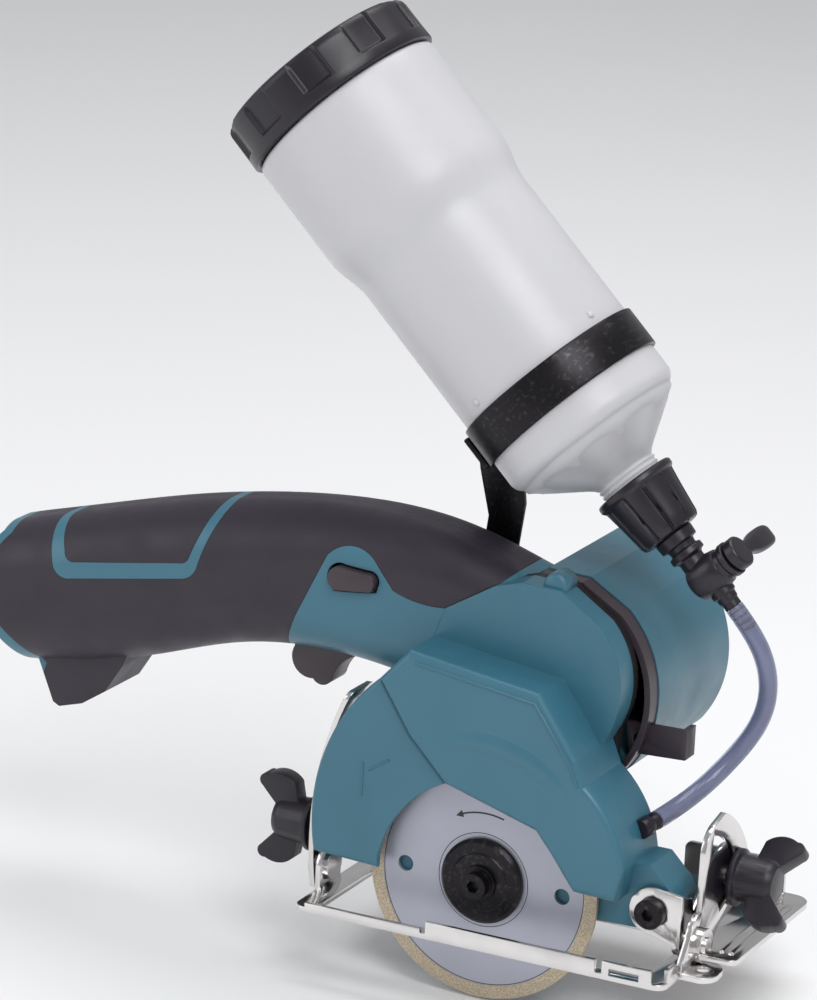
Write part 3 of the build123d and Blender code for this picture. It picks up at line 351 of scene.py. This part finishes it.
def copper_wire():
    """Enamelled winding wire lying side by side, darkened in the grooves between turns as painted shade."""
    finish = Finish("copper_wire", (0.60, 0.24, 0.10), 0.25, 1.0)
    turns_and_groove_shade = finish.nodes.new("ShaderNodeTexWave")
    turns_and_groove_shade.inputs["Scale"].default_value = 380.0
    turns_and_groove_shade.inputs["Distortion"].default_value = 0.6
    finish.links.new(finish.place, turns_and_groove_shade.inputs["Vector"])
    # painted shade: the wire colour darkens towards the grooves between turns
    finish.colour(finish.blend(turns_and_groove_shade.outputs["Fac"], (0.30, 0.10, 0.04), (0.70, 0.30, 0.13)))
    finish.bump(turns_and_groove_shade.outputs["Fac"], 0.0002, 0.8)
    return finish.material


def milky_plastic():
    """Translucent blow-moulded bottle: cloudy wall, faint flow lines down its length."""
    base = tuple(colours().bottle)
    finish = Finish("milky_plastic", base, 0.36)
    along = finish.mapped(rotation=(0, radians(45), 0), scale=(1.0, 1.0, 0.12))
    finish.colour(finish.blend(finish.noise(18.0, 4.0, along), tint(base, 0.93), tint(base, 1.06)))
    finish.rough(finish.ramp(finish.noise(40.0, 5.0), 0.3, 0.7, 0.3, 0.44))
    finish.bump(finish.noise(60.0, 3.0, along), 0.00025, 0.25)
    finish.bump(finish.noise(900.0, 3.0), 0.00002, 0.4)
    finish.set("Subsurface Weight", 0.3)
    finish.set("Subsurface Radius", (0.010, 0.009, 0.009))
    finish.set("Subsurface Scale", 0.6)
    return finish.material


def clear_vinyl():
    """Clear hose wall with a violet-grey tint."""
    finish = Finish("clear_vinyl", (0.62, 0.65, 0.84), 0.08)
    finish.set("Transmission Weight", 0.82)
    finish.set("IOR", 1.32)
    finish.rough(finish.ramp(finish.noise(60.0, 4.0), 0.3, 0.7, 0.05, 0.14))
    finish.bump(finish.noise(260.0, 2.0), 0.00008, 0.3)
    return finish.material


def hose_core_shade():
    """Core standing for the water in the hose, coloured dark as painted shade seen through the clear wall."""
    finish = Finish("hose_core_shade", (0.62, 0.62, 0.78), 0.1)
    # painted shade: dark blue-violet colour for the shaded inside of the hose
    finish.colour(finish.blend(finish.noise(90.0, 3.0), (0.20, 0.22, 0.36), (0.36, 0.38, 0.54)))
    finish.set("Transmission Weight", 0.4)
    finish.set("Coat Weight", 0.5)
    return finish.material


def blade_ink():
    """Black print on the blade."""
    finish = Finish("blade_ink", (0.012, 0.012, 0.014), 0.45)
    finish.colour(finish.blend(finish.noise(500.0, 4.0), (0.008, 0.008, 0.01), (0.035, 0.035, 0.04)))
    return finish.material


SLOT_FINISHES = {
    "teal_housing": housing_plastic,
    "purple_rubber": grip_rubber,
    "dark_band": band_plastic,
    "black_fittings": fitting_plastic,
    "chromed_sheet": chromed_sheet,
    "blade_steel": ground_disc,
    "diamond_rim": diamond_rim,
    "black_steel": oxide_steel,
    "gear_steel": machined_steel,
    "cover_alloy": cast_alloy,
    "magnet_ferrite": ferrite,
    "copper_winding": copper_wire,
    "inner_plastic": inner_plastic,
    "milky_bottle": milky_plastic,
    "clear_hose": clear_vinyl,
    "seal_rubber": grip_rubber,
}
made_finishes = {}


def finish_for(slot):
    """The one material of a slot, made the first time it is asked for."""
    if slot not in made_finishes:
        made_finishes[slot] = SLOT_FINISHES[slot]()
    return made_finishes[slot]


# ---------------------------------------------------------------- mesh helpers
def add_piece(name, mesh, body, slot, material=None, smooth=True):
    """Links a mesh or curve as a piece that rides on a body and takes a slot's finish."""
    piece = bpy.data.objects.new(name, mesh)
    bpy.context.scene.collection.objects.link(piece)
    mesh.materials.append(material or finish_for(slot))
    if smooth and hasattr(mesh, "polygons"):
        for polygon in mesh.polygons:
            polygon.use_smooth = True
    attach(piece, body)
    return piece


def axis_frame(start, direction, side=None):
    """Matrix with its third axis along a direction and its origin at start."""
    w = direction.normalized()
    hint = side or (Vector((0, 1, 0)) if abs(w.y) < 0.9 else Vector((1, 0, 0)))
    u = (hint - w * hint.dot(w)).normalized()
    v = w.cross(u)
    return Matrix.Translation(start) @ Matrix((u, v, w)).transposed().to_4x4()


def lathe(name, profile, place, steps=96, radius_at=None, closed=False):
    """Mesh turned from (radius, height) millimetres; radius_at may vary the radius round the axis."""
    mesh = bmesh.new()
    rings = []
    for index, (radius, height) in enumerate(profile):
        if radius < 1e-6:
            rings.append([mesh.verts.new(place @ Vector((0, 0, height * MM)))])
            continue
        ring = []
        for k in range(steps):
            angle = 2 * pi * k / steps
            r = radius_at(index, radius, angle) if radius_at else radius
            ring.append(mesh.verts.new(place @ Vector((r * cos(angle) * MM, r * sin(angle) * MM,
                                                       height * MM))))
        rings.append(ring)
    pairs = list(zip(rings, rings[1:])) + ([(rings[-1], rings[0])] if closed else [])
    for low, high in pairs:
        for k in range(steps):
            j = (k + 1) % steps
            corners = [low[k % len(low)], low[j % len(low)], high[j % len(high)], high[k % len(high)]]
            distinct = [v for n, v in enumerate(corners) if v not in corners[:n]]
            if len(distinct) > 2:
                mesh.faces.new(distinct)
    bmesh.ops.recalc_face_normals(mesh, faces=mesh.faces)
    data = bpy.data.meshes.new(name)
    mesh.to_mesh(data)
    mesh.free()
    return data


def slab(name, outline, place, thickness):
    """Flat closed plate from a 2-D outline in millimetres, lifted along the place's third axis."""
    mesh = bmesh.new()
    low = [mesh.verts.new(place @ Vector((x * MM, y * MM, 0))) for x, y in outline]
    high = [mesh.verts.new(place @ Vector((x * MM, y * MM, thickness * MM))) for x, y in outline]
    mesh.faces.new(low[::-1])
    mesh.faces.new(high)
    for k in range(len(outline)):
        j = (k + 1) % len(outline)
        mesh.faces.new((low[k], low[j], high[j], high[k]))
    bmesh.ops.recalc_face_normals(mesh, faces=mesh.faces)
    data = bpy.data.meshes.new(name)
    mesh.to_mesh(data)
    mesh.free()
    return data


def bevelled(piece, width, segments=3, angle=35.0):
    """Rounds a piece's sharp edges and evens its shading."""
    bevel = piece.modifiers.new("edge_round", "BEVEL")
    bevel.width, bevel.segments = width, segments
    bevel.limit_method, bevel.angle_limit = "ANGLE", radians(angle)
    bevel.harden_normals = True
    return bevel


def smooth_group():
    """Node group that shades a mesh smooth except across sharp edges."""
    group = bpy.data.node_groups.new("smooth_by_angle", "GeometryNodeTree")
    group.interface.new_socket("Mesh", in_out="INPUT", socket_type="NodeSocketGeometry")
    group.interface.new_socket("Mesh", in_out="OUTPUT", socket_type="NodeSocketGeometry")
    start, end = group.nodes.new("NodeGroupInput"), group.nodes.new("NodeGroupOutput")
    faces, edges = (group.nodes.new("GeometryNodeSetShadeSmooth") for _ in range(2))
    faces.domain, edges.domain = "FACE", "EDGE"
    angle = group.nodes.new("GeometryNodeInputMeshEdgeAngle")
    small = group.nodes.new("FunctionNodeCompare")
    small.operation = "LESS_THAN"
    small.inputs[1].default_value = radians(38)
    group.links.new(angle.outputs["Unsigned Angle"], small.inputs[0])
    group.links.new(start.outputs[0], faces.inputs["Geometry"])
    group.links.new(faces.outputs["Geometry"], edges.inputs["Geometry"])
    group.links.new(small.outputs["Result"], edges.inputs["Shade Smooth"])
    group.links.new(edges.outputs["Geometry"], end.inputs[0])
    return group


def dress_node(node, width=0.0):
    """Gives a CAD node its finish, and a real rounding on its edges where a width is stated."""
    obj = frame["nodes"][node]
    slot = next(entry["material_slot"] for entry in frame["record"]["subparts"] if entry["node"] == node)
    for index in range(max(1, len(obj.material_slots))):
        if obj.material_slots:
            obj.material_slots[index].material = finish_for(slot)
        else:
            obj.data.materials.append(finish_for(slot))
    if width:
        weld = obj.modifiers.new("join_faces", "WELD")
        weld.merge_threshold = 1e-6
        flat = obj.modifiers.new("merge_flats", "DECIMATE")
        flat.decimate_type, flat.angle_limit = "DISSOLVE", radians(0.6)
        bevel = bevelled(obj, width, 2)
        bevel.harden_normals = False
        bevel.use_clamp_overlap = True
        shade = obj.modifiers.new("shade", "NODES")
        shade.node_group = bpy.data.node_groups.get("smooth_by_angle") or smooth_group()


# ---------------------------------------------------------------- operators
# name, place and size in metres, power in watts
LAMPS = (("key", (1.0, -1.1, 1.8), 1.2, 24.0), ("fill", (-1.4, -1.0, 0.7), 1.2, 6.0),
         ("top", (0.0, 0.5, 1.9), 1.3, 18.0))
CAMERA_TURN = 25.79  # degrees round from square on to the blade
CAMERA_RISE = 16.02
CAMERA_ROLL = 2.67
CAMERA_LENS = 164.9
CAMERA_PLACE = (0.5265, -1.3322, 0.5704)
FLOOR_HALF = 6.0


class BuildStage(bpy.types.Operator):
    """Camera, plain pale floor and soft studio light."""

    bl_idname = "saw.stage"
    bl_label = "Stage and camera"

    def execute(self, context):
        self.camera(context)
        self.floor(context)
        self.lights(context)
        return {"FINISHED"}

    def camera(self, context):
        turn, rise, roll = (radians(angle) for angle in (CAMERA_TURN, CAMERA_RISE, CAMERA_ROLL))
        back = Vector((sin(turn) * cos(rise), -cos(turn) * cos(rise), sin(rise)))
        level = Vector((cos(turn), sin(turn), 0))
        upright = back.cross(level)
        right = level * cos(roll) + upright * sin(roll)
        up = upright * cos(roll) - level * sin(roll)
        data = bpy.data.cameras.new("camera")
        data.lens = CAMERA_LENS
        data.sensor_width = 36.0
        camera = bpy.data.objects.new("camera", data)
        place = Matrix((right, up, back)).transposed().to_4x4()
        camera.matrix_world = Matrix.Translation(CAMERA_PLACE) @ place
        context.scene.collection.objects.link(camera)
        context.scene.camera = camera

    def floor(self, context):
        low = CAD_BOX[0][2] - 0.001
        mesh = bpy.data.meshes.new("floor")
        corners = [(x * FLOOR_HALF, y * FLOOR_HALF, low) for x, y in ((-1, -1), (1, -1), (1, 1), (-1, 1))]
        mesh.from_pydata(corners, [], [(0, 1, 2, 3)])
        floor = bpy.data.objects.new("floor", mesh)
        finish = Finish("floor_paper", (0.90, 0.90, 0.90), 0.7)
        finish.colour(finish.blend(finish.noise(3.0, 3.0), (0.88, 0.88, 0.885), (0.92, 0.92, 0.92)))
        mesh.materials.append(finish.material)
        context.scene.collection.objects.link(floor)

    def lights(self, context):
        world = bpy.data.worlds.new("studio")
        world.use_nodes = True
        world.node_tree.nodes["Background"].inputs["Color"].default_value = (0.96, 0.97, 1.0, 1.0)
        world.node_tree.nodes["Background"].inputs["Strength"].default_value = 0.42
        context.scene.world = world
        target = middle("gear_case")
        for name, place, size, power in LAMPS:
            data = bpy.data.lights.new(name, "AREA")
            data.size, data.energy = size, power
            lamp = bpy.data.objects.new(name, data)
            lamp.location = Vector(place)
            lamp.rotation_euler = (target - lamp.location).to_track_quat("-Z", "Y").to_euler()
            context.scene.collection.objects.link(lamp)
        context.scene.view_settings.view_transform = "Standard"


class BuildHose(bpy.types.Operator):
    """Clear water hose from the valve to the nozzle, with its bore coloured dark as painted shade, and the barb
    inside its end.
    """

    bl_idname = "saw.hose"
    bl_label = "Water hose"

    def execute(self, context):
        settings = context.scene.saw_sizes
        # the bore tube takes the dark core, which is painted shade seen through the clear hose wall
        bore = self.line("hose_bore", settings.hose_bore, hose_core_shade())
        barb_start, barb_next = at(*HOSE_ROUTE[0]), at(*HOSE_ROUTE[1])
        place = axis_frame(barb_start, barb_next - barb_start)
        profile = [(0, -0.4), (2.2, -0.4)]
        for k in range(4):
            profile += [(1.5, 1.0 + 2.2 * k), (2.3, 1.3 + 2.2 * k)]
        profile += [(1.4, 9.6), (0, 9.6)]
        barb = add_piece("hose_barb", lathe("hose_barb", profile, place, 32), "saw_body", "black_fittings")
        hose = self.line("hose_tube", settings.hose_diameter, finish_for("clear_hose"))
        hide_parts("hose")
        return {"FINISHED"}

    def line(self, name, diameter, material):
        curve = bpy.data.curves.new(name, "CURVE")
        curve.dimensions = "3D"
        curve.bevel_depth = diameter / 2
        curve.bevel_resolution = 8
        curve.resolution_u = 16
        curve.use_fill_caps = True
        spline = curve.splines.new("NURBS")
        spline.points.add(len(HOSE_ROUTE) - 1)
        for point, place in zip(spline.points, HOSE_ROUTE):
            point.co = (*at(*place), 1.0)
        spline.order_u = 3
        spline.use_endpoint_u = True
        return add_piece(name, curve, "saw_body", "clear_hose", material)


WIDE_R = 36.5  # upper part of the bottle
SLIM_R = 33.5  # lower part
FOOT_CORNER = 5.0  # rounding where the foot starts
NECK_R = 10.9
THREAD_R = 11.5
FOOT_FLATS = 8
NUB = [(0, 0.9), (0.8, 0.85), (1.3, 0.4), (1.4, 0.0)]  # (radius, height)
NUB_T = 128.6  # distance below the cap's top
NUB_REACH = 33.2  # distance from the bottle's axis


class BuildBottle(bpy.types.Operator):
    """Milky bottle with its shoulder, coned foot, threaded neck and strap nubs."""

    bl_idname = "saw.bottle"
    bl_label = "Water bottle"

    def execute(self, context):
        profile = [(31.4, 5.4), (33.0, 5.0), (33.0, 17.6), (35.2, 17.9), (36.2, 18.6), (WIDE_R, 20.0)]
        profile += [(WIDE_R, 20 + 5 * k) for k in range(1, 8)]
        for k in range(13):
            ease = (1 - cos(pi * k / 12)) / 2
            profile.append((WIDE_R - (WIDE_R - SLIM_R) * ease, 58.0 + 17.0 * k / 12))
        profile += [(SLIM_R, 80 + 7.5 * k) for k in range(0, 11)]
        for k in range(9):
            lean = radians(10 * k * 0.62)
            profile.append((SLIM_R - FOOT_CORNER * (1 - cos(lean)), 155.6 + FOOT_CORNER * sin(lean)))
        profile += [(27.0, 164.4), (22.0, 167.9), (17.0, 171.3), (13.6, 173.6), (12.2, 174.8),
                    (11.5, 175.6)]
        for k in range(3):
            base = 176.2 + 1.9 * k
            profile += [(NECK_R, base), (THREAD_R, base + 0.5), (THREAD_R, base + 1.0), (NECK_R, base + 1.5)]
        profile += [(NECK_R, 182.0), (NECK_R, 193.8), (9.9, 193.8), (9.9, 176.6), (12.4, 174.2), (30.6, 161.6),
                    (31.9, 157.0), (31.9, 75.2), (34.9, 58.2), (34.9, 19.8), (31.4, 19.4)]

        def flats(index, radius, angle):
            height = profile[index][1]
            if 161.0 < height < 174.0 and radius > 12.0 and index < len(profile) - 9:
                return radius * (1 - 0.020 * (1 + cos(FOOT_FLATS * angle)) / 2)
            return radius

        mesh = lathe("bottle", profile, axis_frame(TANK_START, TANK_DOWN), 128, flats, closed=True)
        bottle = add_piece("bottle", mesh, "saw_body", "milky_bottle")
        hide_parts("tank_bottle")
        for number, lean in enumerate((-112.0, -20.0, 70.0, 160.0)):
            out = Vector((0, 1, 0)) * sin(radians(lean)) + TANK_UP * cos(radians(lean))
            place = axis_frame(tank_point(NUB_T) + out * NUB_REACH * MM, out, TANK_DOWN)
            add_piece(f"strap_nub_{number}", lathe("nub", NUB, place, 20), "saw_body", "milky_bottle")
        return {"FINISHED"}


class BuildFillerCap(bpy.types.Operator):
    """Wide filler cap with finger recesses round its side."""

    bl_idname = "saw.filler_cap"
    bl_label = "Filler cap"

    def execute(self, context):
        count = context.scene.saw_sizes.cap_recesses
        profile = [(0, 0.0), (20, 0.0), (21, 0.5), (29, 0.5), (30, 0.0), (34.6, 0.0), (36.2, 0.5),
                   (37.2, 1.6), (37.5, 2.8), (37.5, 3.4), (37.55, 12.4), (37.6, 13.2), (37.7, 16.6),
                   (37.4, 17.3), (36.6, 17.5), (33.5, 17.5), (33.5, 3.0), (0, 3.0)]
        recessed = {6: 0.5, 7: 1.1, 8: 1.5, 9: 1.6, 10: 1.6}

        def recess(index, radius, angle):
            depth = recessed.get(index, 0.0)
            turn = (angle * count / (2 * pi)) % 1.0
            edge = 0.03
            inside = min(1.0, max(0.0, (turn - 0.10) / edge)) * min(1.0, max(0.0, (0.60 - turn) / edge))
            return radius - depth * inside

        mesh = lathe("filler_cap_shell", profile, axis_frame(TANK_START, TANK_DOWN), 360, recess)
        cap = add_piece("filler_cap_shell", mesh, "filler_cap", "black_fittings")
        bevelled(cap, 0.0003, 2, 30)
        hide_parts("filler_cap")
        return {"FINISHED"}


class BuildNeckCap(bpy.types.Operator):
    """Ribbed screw cap on the bottle's neck, with its lip and stepped outlet."""

    bl_idname = "saw.neck_cap"
    bl_label = "Neck cap"

    def execute(self, context):
        ribs = context.scene.saw_sizes.neck_ribs
        profile = [(11.6, 180.3), (14.3, 180.3), (14.9, 180.9), (14.9, 182.6), (14.3, 183.3), (13.9, 183.6),
                   (13.7, 184.6), (12.9, 190.0), (12.0, 197.0), (11.6, 200.4), (10.9, 201.8), (9.8, 202.2),
                   (7.4, 202.3), (2.0, 202.3), (2.0, 194.5), (11.6, 194.5)]

        def flute(index, radius, angle):
            if not 6 <= index <= 10:
                return radius
            wave = abs(sin(angle * ribs / 2))
            return radius - 1.1 * (1 - min(1.0, wave * 2.6))

        mesh = lathe("neck_cap_shell", profile, axis_frame(TANK_START, TANK_DOWN), 240, flute, closed=True)
        cap = add_piece("neck_cap_shell", mesh, "saw_body", "black_fittings")
        bevelled(cap, 0.0003, 2, 30)
        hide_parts("neck_cap")
        return {"FINISHED"}


# (radius, distance along the axis) of each turned piece
VALVE_INLET = [(0, 202.3), (6.8, 202.3), (7.3, 202.8), (7.0, 206.4), (5.2, 206.8), (4.9, 208.6),
               (5.2, 208.8), (6.3, 209.2), (6.4, 211.4), (5.3, 211.8), (4.6, 212.4), (4.8, 222.0),
               (0, 222.0)]
VALVE_CORE = [(0, -7.2), (4.8, -6.9), (6.4, -5.6), (7.0, -3.0), (7.0, 3.0), (6.4, 6.0), (5.9, 6.6),
              (5.9, 8.4), (6.3, 8.8), (6.3, 10.8), (0, 10.8)]
VALVE_OUTLET = [(0, 2.0), (4.6, 2.0), (4.4, 8.0), (3.7, 8.5), (3.5, 10.5), (3.1, 10.9), (3.1, 13.4),
                (0, 13.4)]
LEVER_HUB = [(0, 11.3), (5.4, 11.3), (5.8, 11.8), (5.8, 14.8), (5.2, 15.4), (0, 15.6)]
# (reach from the hub, half width, half thickness) along the lever
PADDLE_STATIONS = ((1.5, 2.6, 1.5), (5.0, 2.5, 1.6), (8.5, 2.7, 1.9), (11.5, 3.6, 2.3), (15.0, 4.1, 2.5),
                   (21.0, 4.2, 2.4), (24.6, 3.8, 2.1), (26.4, 2.6, 1.4), (26.9, 0.9, 0.5))


class BuildValve(bpy.types.Operator):
    """Stepped valve body and its paddle lever."""

    bl_idname = "saw.valve"
    bl_label = "Water valve"

    def execute(self, context):
        start, second = at(*HOSE_ROUTE[0]), at(*HOSE_ROUTE[1])
        flow = (second - start).normalized()
        centre = start - flow * VALVE_REACH * MM
        down = axis_frame(TANK_START, TANK_DOWN)
        self.turned("valve_inlet", VALVE_INLET, down, 48)
        self.turned("valve_core", VALVE_CORE, axis_frame(centre, TANK_UP), 48)
        self.turned("valve_outlet", VALVE_OUTLET, axis_frame(centre, flow), 40)
        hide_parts("valve_body")
        self.turned("lever_hub", LEVER_HUB, axis_frame(centre, TANK_UP), 48, "valve_lever")
        self.paddle(centre)
        return {"FINISHED"}

    def turned(self, name, profile, place, steps, body="saw_body"):
        piece = add_piece(name, lathe(name, profile, place, steps), body, "black_fittings")
        bevelled(piece, 0.00025, 2, 30)
        return piece

    def paddle(self, centre):
        """Lever arm: narrow at the hub, thick and broad towards its rounded end."""
        place = axis_frame(centre + TANK_UP * 13.6 * MM, TANK_UP, Vector((0, 1, 0)))
        mesh = bmesh.new()
        rings = []
        for reach, wide, tall in PADDLE_STATIONS:
            ring = []
            for k in range(24):
                angle = 2 * pi * k / 24
                c, s = cos(angle), sin(angle)
                swell = (abs(c) ** 4 + abs(s) ** 4) ** -0.25
                spot = Vector((reach, c * swell * wide, s * swell * tall + 0.3)) * MM
                ring.append(mesh.verts.new(place @ spot))
            rings.append(ring)
        for low, high in zip(rings, rings[1:]):
            for k in range(24):
                mesh.faces.new((low[k], low[(k + 1) % 24], high[(k + 1) % 24], high[k]))
        mesh.faces.new(rings[0][::-1])
        mesh.faces.new(rings[-1])
        bmesh.ops.recalc_face_normals(mesh, faces=mesh.faces)
        data = bpy.data.meshes.new("lever_paddle")
        mesh.to_mesh(data)
        mesh.free()
        lever = add_piece("lever_paddle", data, "valve_lever", "black_fittings")
        smooth = lever.modifiers.new("subdivision", "SUBSURF")
        smooth.levels = smooth.render_levels = 1
        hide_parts("valve_lever")


class BuildStrap(bpy.types.Operator):
    """Steel strap round the bottle with its clip, drawn as a flat plate."""

    bl_idname = "saw.strap"
    bl_label = "Bottle strap"

    def execute(self, context):
        profile = [(33.55, 132.6), (33.9, 132.4), (34.9, 132.5), (35.0, 132.9), (35.0, 146.5),
                   (34.9, 146.9), (33.9, 147.0), (33.55, 146.8)]
        mesh = lathe("strap_loop", profile, axis_frame(TANK_START, TANK_DOWN), 128, closed=True)
        strap = add_piece("strap_loop", mesh, "saw_body", "black_steel")
        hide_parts("tank_strap")
        out = (Vector((0, -1, 0)) * 0.25 - TANK_UP).normalized()
        place = axis_frame(tank_point(133.4) + out * 34.9 * MM, out, TANK_DOWN)
        outline = [(0, -5.5), (12.6, -5.5), (12.6, 5.5), (0, 5.5)]
        clip = add_piece("strap_clip", slab("strap_clip", outline, place, 2.2), "saw_body", "black_steel",
                         smooth=False)
        bevelled(clip, 0.0007, 3)
        return {"FINISHED"}


ARROW_OUTER_R = 24.2
ARROW_INNER_R = 23.6


class BuildBladeMarks(bpy.types.Operator):
    """Turning-direction arrow and thin rings printed on the blade."""

    bl_idname = "saw.blade_marks"
    bl_label = "Blade marks"

    def execute(self, context):
        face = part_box("blade")[0][1]
        place = Matrix(((1, 0, 0, 0), (0, 0, -1, face), (0, 1, 0, 0), (0, 0, 0, 1)))
        place.translation = Vector((at(0, 0, 0).x, face, at(0, 0, 0).z))
        ink = blade_ink()
        span = [112 - 2 * k for k in range(20)]
        shaft = [self.arc(ARROW_OUTER_R, a) for a in span] + [self.arc(ARROW_INNER_R, a) for a in reversed(span)]
        head = [self.arc(25.2, 111.6), self.arc(23.9, 118.5), self.arc(22.6, 111.6)]
        for name, outline in (("arrow_shaft", shaft), ("arrow_head", head)):
            add_piece(name, slab(name, outline, place, 0.03), "blade_group", "blade_steel", ink, smooth=False)
        for name, radius in (("ring_outer", 37.4), ("ring_inner", 16.6)):
            profile = [(radius, 0.0), (radius, 0.03), (radius + 0.25, 0.03), (radius + 0.25, 0.0)]
            add_piece(name, lathe(name, profile, place, 128, closed=True), "blade_group", "blade_steel", ink)
        return {"FINISHED"}

    def arc(self, radius, angle):
        """Point on the blade's face at a radius, angle degrees round the spindle."""
        return radius * cos(radians(angle)), radius * sin(radians(angle))


class BuildCaseRelief(bpy.types.Operator):
    """Raised swage, edge bead and arrow lines moulded on the blade case, and the small boss above it."""

    bl_idname = "saw.case_relief"
    bl_label = "Case relief"

    def execute(self, context):
        self.swage()
        self.bead("edge_bead", [(-24.6, 75.8), (20.0, 69.6), (33.6, 51.2),
                                (37.0, 43.6)], CASE_FRONT_Y, 0.55)
        self.bead("leg_arrow_up", [(-44.0, 36.0), (-44.0, 24.0)], LEG_FRONT_Y, 0.4)
        self.bead("leg_arrow_side", [(-41.6, 33.6), (-34.2, 38.6)], LEG_FRONT_Y, 0.4)
        boss = [(0, 0), (3.2, 0), (4.2, 0.6), (4.4, 1.6), (4.4, 9.0), (0, 9.0)]
        place = axis_frame(at(15.2, 11.0, 104.2), Vector((0, 1, 0)))
        add_piece("case_boss", lathe("case_boss", boss, place, 48), "saw_body", "teal_housing")
        return {"FINISHED"}

    def swage(self):
        """Crowned crescent that follows the blade above the case's opening."""
        mesh = bmesh.new()
        across = 10
        steps = 48
        rows = []
        for k in range(steps + 1):
            share = k / steps
            angle = radians(112 - 66 * share)
            width = 8.2 * sin(pi * min(1.0, 0.08 + share * 0.84)) ** 0.6
            row = []
            for j in range(across + 1):
                part = j / across
                radius = 50.0 + width * (part - 0.25)
                rise = 0.9 * sin(pi * part) ** 1.4 * sin(pi * share) ** 0.7
                row.append(mesh.verts.new(at(radius * cos(angle), CASE_FRONT_Y + 0.02 - rise,
                                             radius * sin(angle))))
            rows.append(row)
        for low, high in zip(rows, rows[1:]):
            for j in range(across):
                mesh.faces.new((low[j], low[j + 1], high[j + 1], high[j]))
        bmesh.ops.recalc_face_normals(mesh, faces=mesh.faces)
        data = bpy.data.meshes.new("case_swage")
        mesh.to_mesh(data)
        mesh.free()
        add_piece("case_swage", data, "saw_body", "teal_housing")

    def bead(self, name, points, y, radius):
        curve = bpy.data.curves.new(name, "CURVE")
        curve.dimensions = "3D"
        curve.bevel_depth, curve.bevel_resolution = radius * MM, 4
        curve.use_fill_caps = True
        spline = curve.splines.new("POLY")
        spline.points.add(len(points) - 1)
        for point, (x, z) in zip(spline.points, points):
            point.co = (*at(x, y, z), 1.0)
        add_piece(name, curve, "saw_body", "teal_housing")


class DressHousings(bpy.types.Operator):
    """Finishes of the moulded housings, grips, band, buttons and knobs."""

    bl_idname = "saw.dress_housings"
    bl_label = "Housings and grips"

    def execute(self, context):
        width = context.scene.saw_sizes.edge_round
        for node in ("housing_near", "housing_far", "grip_near", "grip_far", "blade_case", "gear_case",
                     "motor_housing",
                     "housing_band"):
            dress_node(node)
        for node in ("trigger", "lock_button", "depth_knob", "bevel_knob", "bracket_boss", "water_nozzle",
                     "hose_guard"):
            dress_node(node, width)
        return {"FINISHED"}


class DressMetal(bpy.types.Operator):
    """Finishes of the base, brackets, blade, flanges and screws."""

    bl_idname = "saw.dress_metal"
    bl_label = "Base, brackets and blade"

    def execute(self, context):
        for node in ("base", "bevel_plate", "front_bracket", "depth_guide", "tank_arm"):
            dress_node(node, context.scene.saw_sizes.plate_round)
        for node in ("bevel_rivets", "bevel_stud", "depth_stud", "outer_flange", "blade_bolt", "depth_screw",
                     "blade",
                     "diamond_rim", "housing_screws"):
            dress_node(node)
        return {"FINISHED"}


class DressInside(bpy.types.Operator):
    """Finishes of the motor, gears, bearings, switch and every other inner piece."""

    bl_idname = "saw.dress_inside"
    bl_label = "Motor and gears"

    def execute(self, context):
        for node, obj in frame["nodes"].items():
            dressed = obj.material_slots and obj.material_slots[0].material in made_finishes.values()
            if not dressed and not obj.hide_render:
                dress_node(node)
        return {"FINISHED"}


PIECES = (BuildStage, BuildHose, BuildBottle, BuildFillerCap, BuildNeckCap, BuildValve, BuildStrap,
          BuildBladeMarks,
          BuildCaseRelief, DressHousings, DressMetal, DressInside)


class SawPanel(bpy.types.Panel):
    """Lists the saw's builders and settings."""

    bl_idname = "VIEW3D_PT_tile_saw"
    bl_label = "Wet tile saw"
    bl_space_type = "VIEW_3D"
    bl_region_type = "UI"
    bl_category = "Tile saw"

    def draw(self, context):
        for settings in (context.scene.saw_sizes, context.scene.saw_colours):
            for key in settings.__annotations__:
                self.layout.prop(settings, key)
        for piece in PIECES:
            self.layout.operator(piece.bl_idname)


bl_info = {
    "name": "Wet tile saw",
    "version": (1, 0, 0),
    "blender": (4, 5, 0),
    "location": "3D View > Sidebar > Tile saw",
    "description": "Builds the looks of a cordless wet tile saw round its CAD frame",
    "category": "Object",
}
CLASSES = (SawSizes, SawColours, *PIECES, SawPanel)


def register():
    for cls in CLASSES:
        bpy.utils.register_class(cls)
    bpy.types.Scene.saw_sizes = PointerProperty(type=SawSizes)
    bpy.types.Scene.saw_colours = PointerProperty(type=SawColours)


def unregister():
    del bpy.types.Scene.saw_sizes
    del bpy.types.Scene.saw_colours
    for cls in reversed(CLASSES):
        bpy.utils.unregister_class(cls)


def main():
    register()
    for piece in PIECES:
        group, call = piece.bl_idname.split(".")
        getattr(getattr(bpy.ops, group), call)()


if __name__ == "__main__":
    main()
